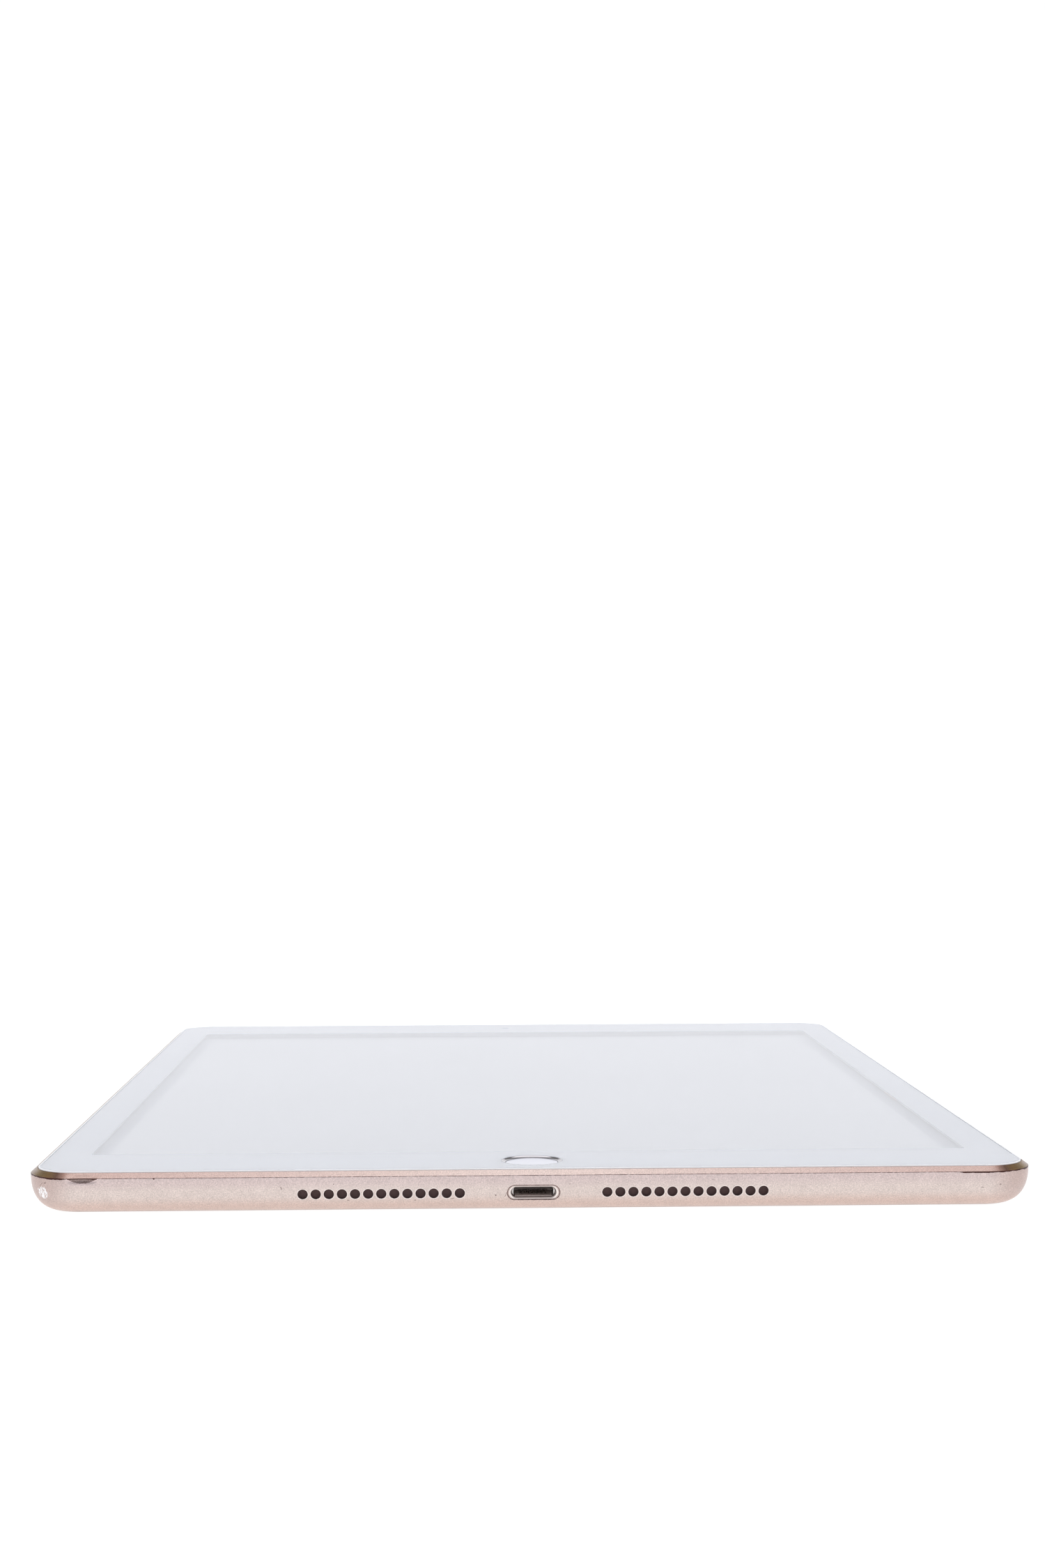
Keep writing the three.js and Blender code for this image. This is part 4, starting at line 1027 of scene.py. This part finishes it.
cap_profile = [(4.5, 6.5), (4.56, 6.6), (4.56, 7.08)] + fillet((4.56, 7.15), (0, 1), (-1, 0), 0.05, 4)
cap_profile += [(4.2, 7.145), (3.6, 7.125), (2.8, 7.105), (1.8, 7.09), (0.9, 7.083)]
cap = lathe(cap_profile, 0, HOME_Y, closed=False)
make_piece("button_crystal", cap, [CRYSTAL], ["home_button_cap"], HOME_BODY)

ring_profile = [(4.62, 6.5), (5.3, 6.5), (5.34, 6.55), (5.34, 7.38)]
ring_profile += fillet((5.34, 7.45), (0, 1), (-1, 0), 0.04, 4)
ring_profile += [(5.22, 7.4), (5.14, 7.31), (5.04, 7.24), (4.9, 7.19), (4.74, 7.16), (4.62, 7.15)]
home_ring = lathe(ring_profile, 0, HOME_Y, 128)
make_piece("button_ring", home_ring, [RING_METAL], ["home_button_ring"], HOME_BODY)


# ---------- charging port and loudspeaker mesh


def tube_along_y(sections, x, level):
    """A solid through (length, height, y) sections that returns to its first section."""
    surface = Surface()
    rows = [
        surface.ring((x + u, y, level + v) for u, v in stadium_ring(length, height, 16))
        for length, height, y in sections
    ]
    surface.join(rows + rows[:1], flip=True)
    return surface


shell_front = -HALF_Y + PORT_WALL + 0.05
shell_back = -HALF_Y + 9
shell_sections = [
    (7.7, 1.86, shell_back), (7.7, 1.86, shell_front + 0.08), (7.86, 2.02, shell_front),
    (8.3, 2.46, shell_front), (8.4, 2.56, shell_front + 0.1), (8.4, 2.56, shell_back),
]
port_sleeve = tube_along_y(shell_sections, 0, PORT_LEVEL)
make_piece("port_sleeve", port_sleeve, [LATCH_METAL], ["port_shell"])


def port_latch(side):
    """A bright spring that fills the port's round end, with a hollowed inner face."""
    surface = Surface()
    core = 2.92  # half the straight part of the port's opening
    outer = [(core + 0.88 * math.cos(a), 0.88 * math.sin(a)) for a in np.linspace(-1.15, 1.15, 15)]
    inner = [(outer[-1][0] + 0.13 * math.cos(a), 0.8 * math.sin(a)) for a in np.linspace(1.4, -1.4, 11)]
    loop = [(side * u, v) for u, v in outer + inner]
    loop = loop if side > 0 else loop[::-1]
    middle = side * (core + 0.64)

    def section(shrink, y):
        return surface.ring((middle + (u - middle) * shrink, y, PORT_LEVEL + v * shrink) for u, v in loop)

    rows = [section(*step) for step in ((0.55, shell_front + 0.16), (0.86, shell_front + 0.2))]
    rows += [section(1, shell_front + 0.34), section(1, shell_front + 3.2)]
    surface.join(rows, flip=True)
    surface.face(rows[0])
    surface.face(rows[-1][::-1])
    return surface


for name, side in (("left", -1), ("right", 1)):
    latch = port_latch(side)
    make_piece("port_spring_" + name, latch, [LATCH_METAL], ["port_latch_" + name])


def speaker_cloth(side):
    """One strip of wire cloth behind a row of holes, dished a little into each hole."""
    surface = Surface()
    front = -HALF_Y + SPEAKER_WALL + 0.05
    columns = np.linspace(11.25, 41.15, 27 * 4 + 1)  # four to each hole and each gap
    levels = np.linspace(2.35, 4.55, 9)
    rows = []
    for z in levels:
        row = []
        for x in columns:
            nearest = round((x - HOLE_FIRST) / HOLE_PITCH) * HOLE_PITCH + HOLE_FIRST
            away = math.hypot(x - nearest, z - PORT_LEVEL) / HOLE_RADIUS
            row.append((side * x, front - 0.05 * max(0.0, 1 - away**2), z))
        rows.append(surface.ring(row))
    back = [surface.ring((side * x, front + 0.12, z) for x in columns) for z in levels]
    for sheet, outward in ((rows, side > 0), (back, side < 0)):
        for lower, upper in zip(sheet, sheet[1:]):
            for i in range(len(columns) - 1):
                quad = (lower[i], lower[i + 1], upper[i + 1], upper[i])
                surface.face(quad if outward else quad[::-1])

    def rim(sheet):
        return sheet[0] + [r[-1] for r in sheet[1:-1]] + sheet[-1][::-1] + [r[0] for r in sheet[-2:0:-1]]

    surface.join([rim(back), rim(rows)], flip=side < 0)
    return surface


for name, side in (("left", -1), ("right", 1)):
    cloth = speaker_cloth(side)
    make_piece("speaker_cloth_" + name, cloth, [MESH], ["speaker_mesh_" + name])


# ---------- side buttons


def side_button(edge, place):
    """The button's face follows the wall a little proud of it and is rounded over at its rim."""
    surface = Surface()
    loop = stadium_ring(BUTTON_LENGTH, BUTTON_HEIGHT, 20)
    rim = 0.16

    def row(scale_in, inset_at):
        ring = cell_ring(loop, BUTTON_LENGTH - 2 * scale_in, BUTTON_HEIGHT - 2 * scale_in, 1)
        points = [edge_point(edge, place + u, inset_at(BUTTON_LEVEL + v), BUTTON_LEVEL + v) for u, v in ring]
        return surface.ring(points)

    rows = [row(0, lambda z: 3.3)]
    for angle in np.linspace(0, math.pi / 2, 6):
        sink = rim * (1 - math.sin(angle))
        rows.append(row(rim * (1 - math.cos(angle)), lambda z, s=sink: wall_inset(z) - BUTTON_PROUD + s))
    for scale_in in (0.35, 0.6, 0.85, 1.05):
        rows.append(row(scale_in, lambda z: wall_inset(z) - BUTTON_PROUD))
    surface.join(rows)
    surface.face(rows[-1])
    surface.face(rows[0][::-1])
    return surface


for name, body, edge, place in (
    ("power", "power_key", FAR, -POWER_X),
    ("volume_up", "volume_up_key", RIGHT, VOLUME_YS[0]),
    ("volume_down", "volume_down_key", RIGHT, VOLUME_YS[1]),
):
    key = side_button(edge, place)
    make_piece(name + "_key_face", key, [CASE_WALL], [name + "_button"], body)


# ---------- rear camera

ring_profile = [(3.55, 1.15), (3.55, 0.24), (3.62, 0.14), (3.74, 0.07), (3.9, 0.05)]
ring_profile += [(4.5, 0.05), (4.66, 0.09), (4.75, 0.2), (4.75, 1.15)]
camera_ring = lathe(ring_profile, CAMERA_X, CAMERA_Y)
make_piece("camera_ring", camera_ring, [RING_METAL], ["rear_camera_ring"])
lens_profile = [(0.4, 0.25), (2.9, 0.25), (3.3, 0.28), (3.48, 0.36), (3.5, 0.45), (3.5, 0.8), (0.4, 0.8)]
camera_lens = lathe(lens_profile, CAMERA_X, CAMERA_Y, closed=False)
make_piece("camera_lens", camera_lens, [LENS], ["rear_camera_lens"])


# ---------- finishes of the CAD parts that stay

FINISHES = {
    "grey_foam": FOAM,
    "diffuser_plastic": DIFFUSER,
    "steel": STEEL,
    "polyimide_flex": FLEX,
    "rubber": RUBBER,
    "chip_black": CHIP,
    "board_green": BOARD,
    "battery_wrap": BATTERY,
    "black_plastic": BLACK_PLASTIC,
    "gold_contact": GOLD,
    "black_adhesive": BLACK_TAPE,
}
SPECIAL_FINISHES = {
    "port_insulator": PORT_PLASTIC,
    "port_contacts": CONTACT,
}

for part in frame["record"]["subparts"]:
    name = part["node"]
    finish = SPECIAL_FINISHES.get(name) or FINISHES.get(part["material_slot"])
    if "screw" in name:
        finish = SCREW_STEEL
    if finish:
        mesh = frame["nodes"][name].data
        mesh.materials.clear()
        mesh.materials.append(finish)


# ---------- table, light and camera


def white_table():
    """A floor 8 m across, a hair under the tablet."""
    mesh = bpy.data.meshes.new("table")
    mesh.from_pydata(rectangle(4.0, 4.0, -2e-5), [], [(0, 1, 2, 3)])
    nodes = Nodes("white table").set(Roughness=0.9, Emission_Strength=0.92)
    nodes.set(Base_Color=(0.25, 0.25, 0.25, 1), Emission_Color=(1, 1, 1, 1), Specular_IOR_Level=0.0)
    mesh.materials.append(nodes.owner)
    add_object("table", mesh)


COOL_LIGHT = (0.965, 0.975, 1.02)  # a slightly blue white
LIGHT_STRENGTH = 2.12


def studio_light():
    """A white studio. A band from about 25 to 60 degrees up is dark in front and behind, bright beside."""
    light = Nodes("studio", bpy.data.worlds, "Background")
    up, ahead = (light.component(light.direction, name) for name in ("Z", "Y"))

    def ramp(stops):
        """Brightness by height above the horizon, in degrees."""
        shades = [(math.sin(math.radians(a)), tuple(v / 2 * c for c in COOL_LIGHT)) for a, v in stops]
        return light.ramp(up, shades, "EASE")

    beside = ramp([(0, 1.0), (20, 1.0), (30, 1.35), (50, 1.65), (66, 1.5), (90, 1.4)])
    behind = ramp([(0, 1.0), (20, 1.0), (27, 0.25), (46, 0.22), (60, 1.1), (90, 1.4)])
    in_front = ramp([(0, 0.95), (14, 0.9), (26, 0.3), (60, 0.35), (74, 1.2), (90, 1.4)])
    sky = light.mix(light.remap(ahead, 0.2, 0.5, smooth=True), beside, behind)
    sky = light.mix(light.remap(ahead, -0.2, -0.5, smooth=True), sky, in_front)
    light.link(sky, light.shader.inputs["Color"])
    light.set(Strength=LIGHT_STRENGTH)
    bpy.context.scene.world = light.owner


CAMERA_PLACE = (-13.37, -551.42, 74.54)
CAMERA_YAW = 1.574  # degrees towards +X from straight along +Y
CAMERA_PITCH = -0.152
CAMERA_ROLL = -0.217
CAMERA_LENS = 57.22


def add_camera():
    yaw, pitch, roll = (math.radians(a) for a in (CAMERA_YAW, CAMERA_PITCH, CAMERA_ROLL))
    forward = Vector((math.sin(yaw) * math.cos(pitch), math.cos(yaw) * math.cos(pitch), math.sin(pitch)))
    level_right = Vector((math.cos(yaw), -math.sin(yaw), 0))
    level_up = level_right.cross(forward)
    right = math.cos(roll) * level_right + math.sin(roll) * level_up
    up = -math.sin(roll) * level_right + math.cos(roll) * level_up
    data = bpy.data.cameras.new("camera")
    data.lens = CAMERA_LENS
    data.sensor_width = 36
    data.clip_start = 0.01
    camera = add_object("camera", data)
    turn = Matrix((right, up, -forward)).transposed().to_4x4()
    camera.matrix_world = Matrix.Translation(Vector(CAMERA_PLACE) * MM) @ turn
    bpy.context.scene.camera = camera


white_table()
studio_light()
add_camera()
bpy.context.scene.view_settings.view_transform = "Standard"
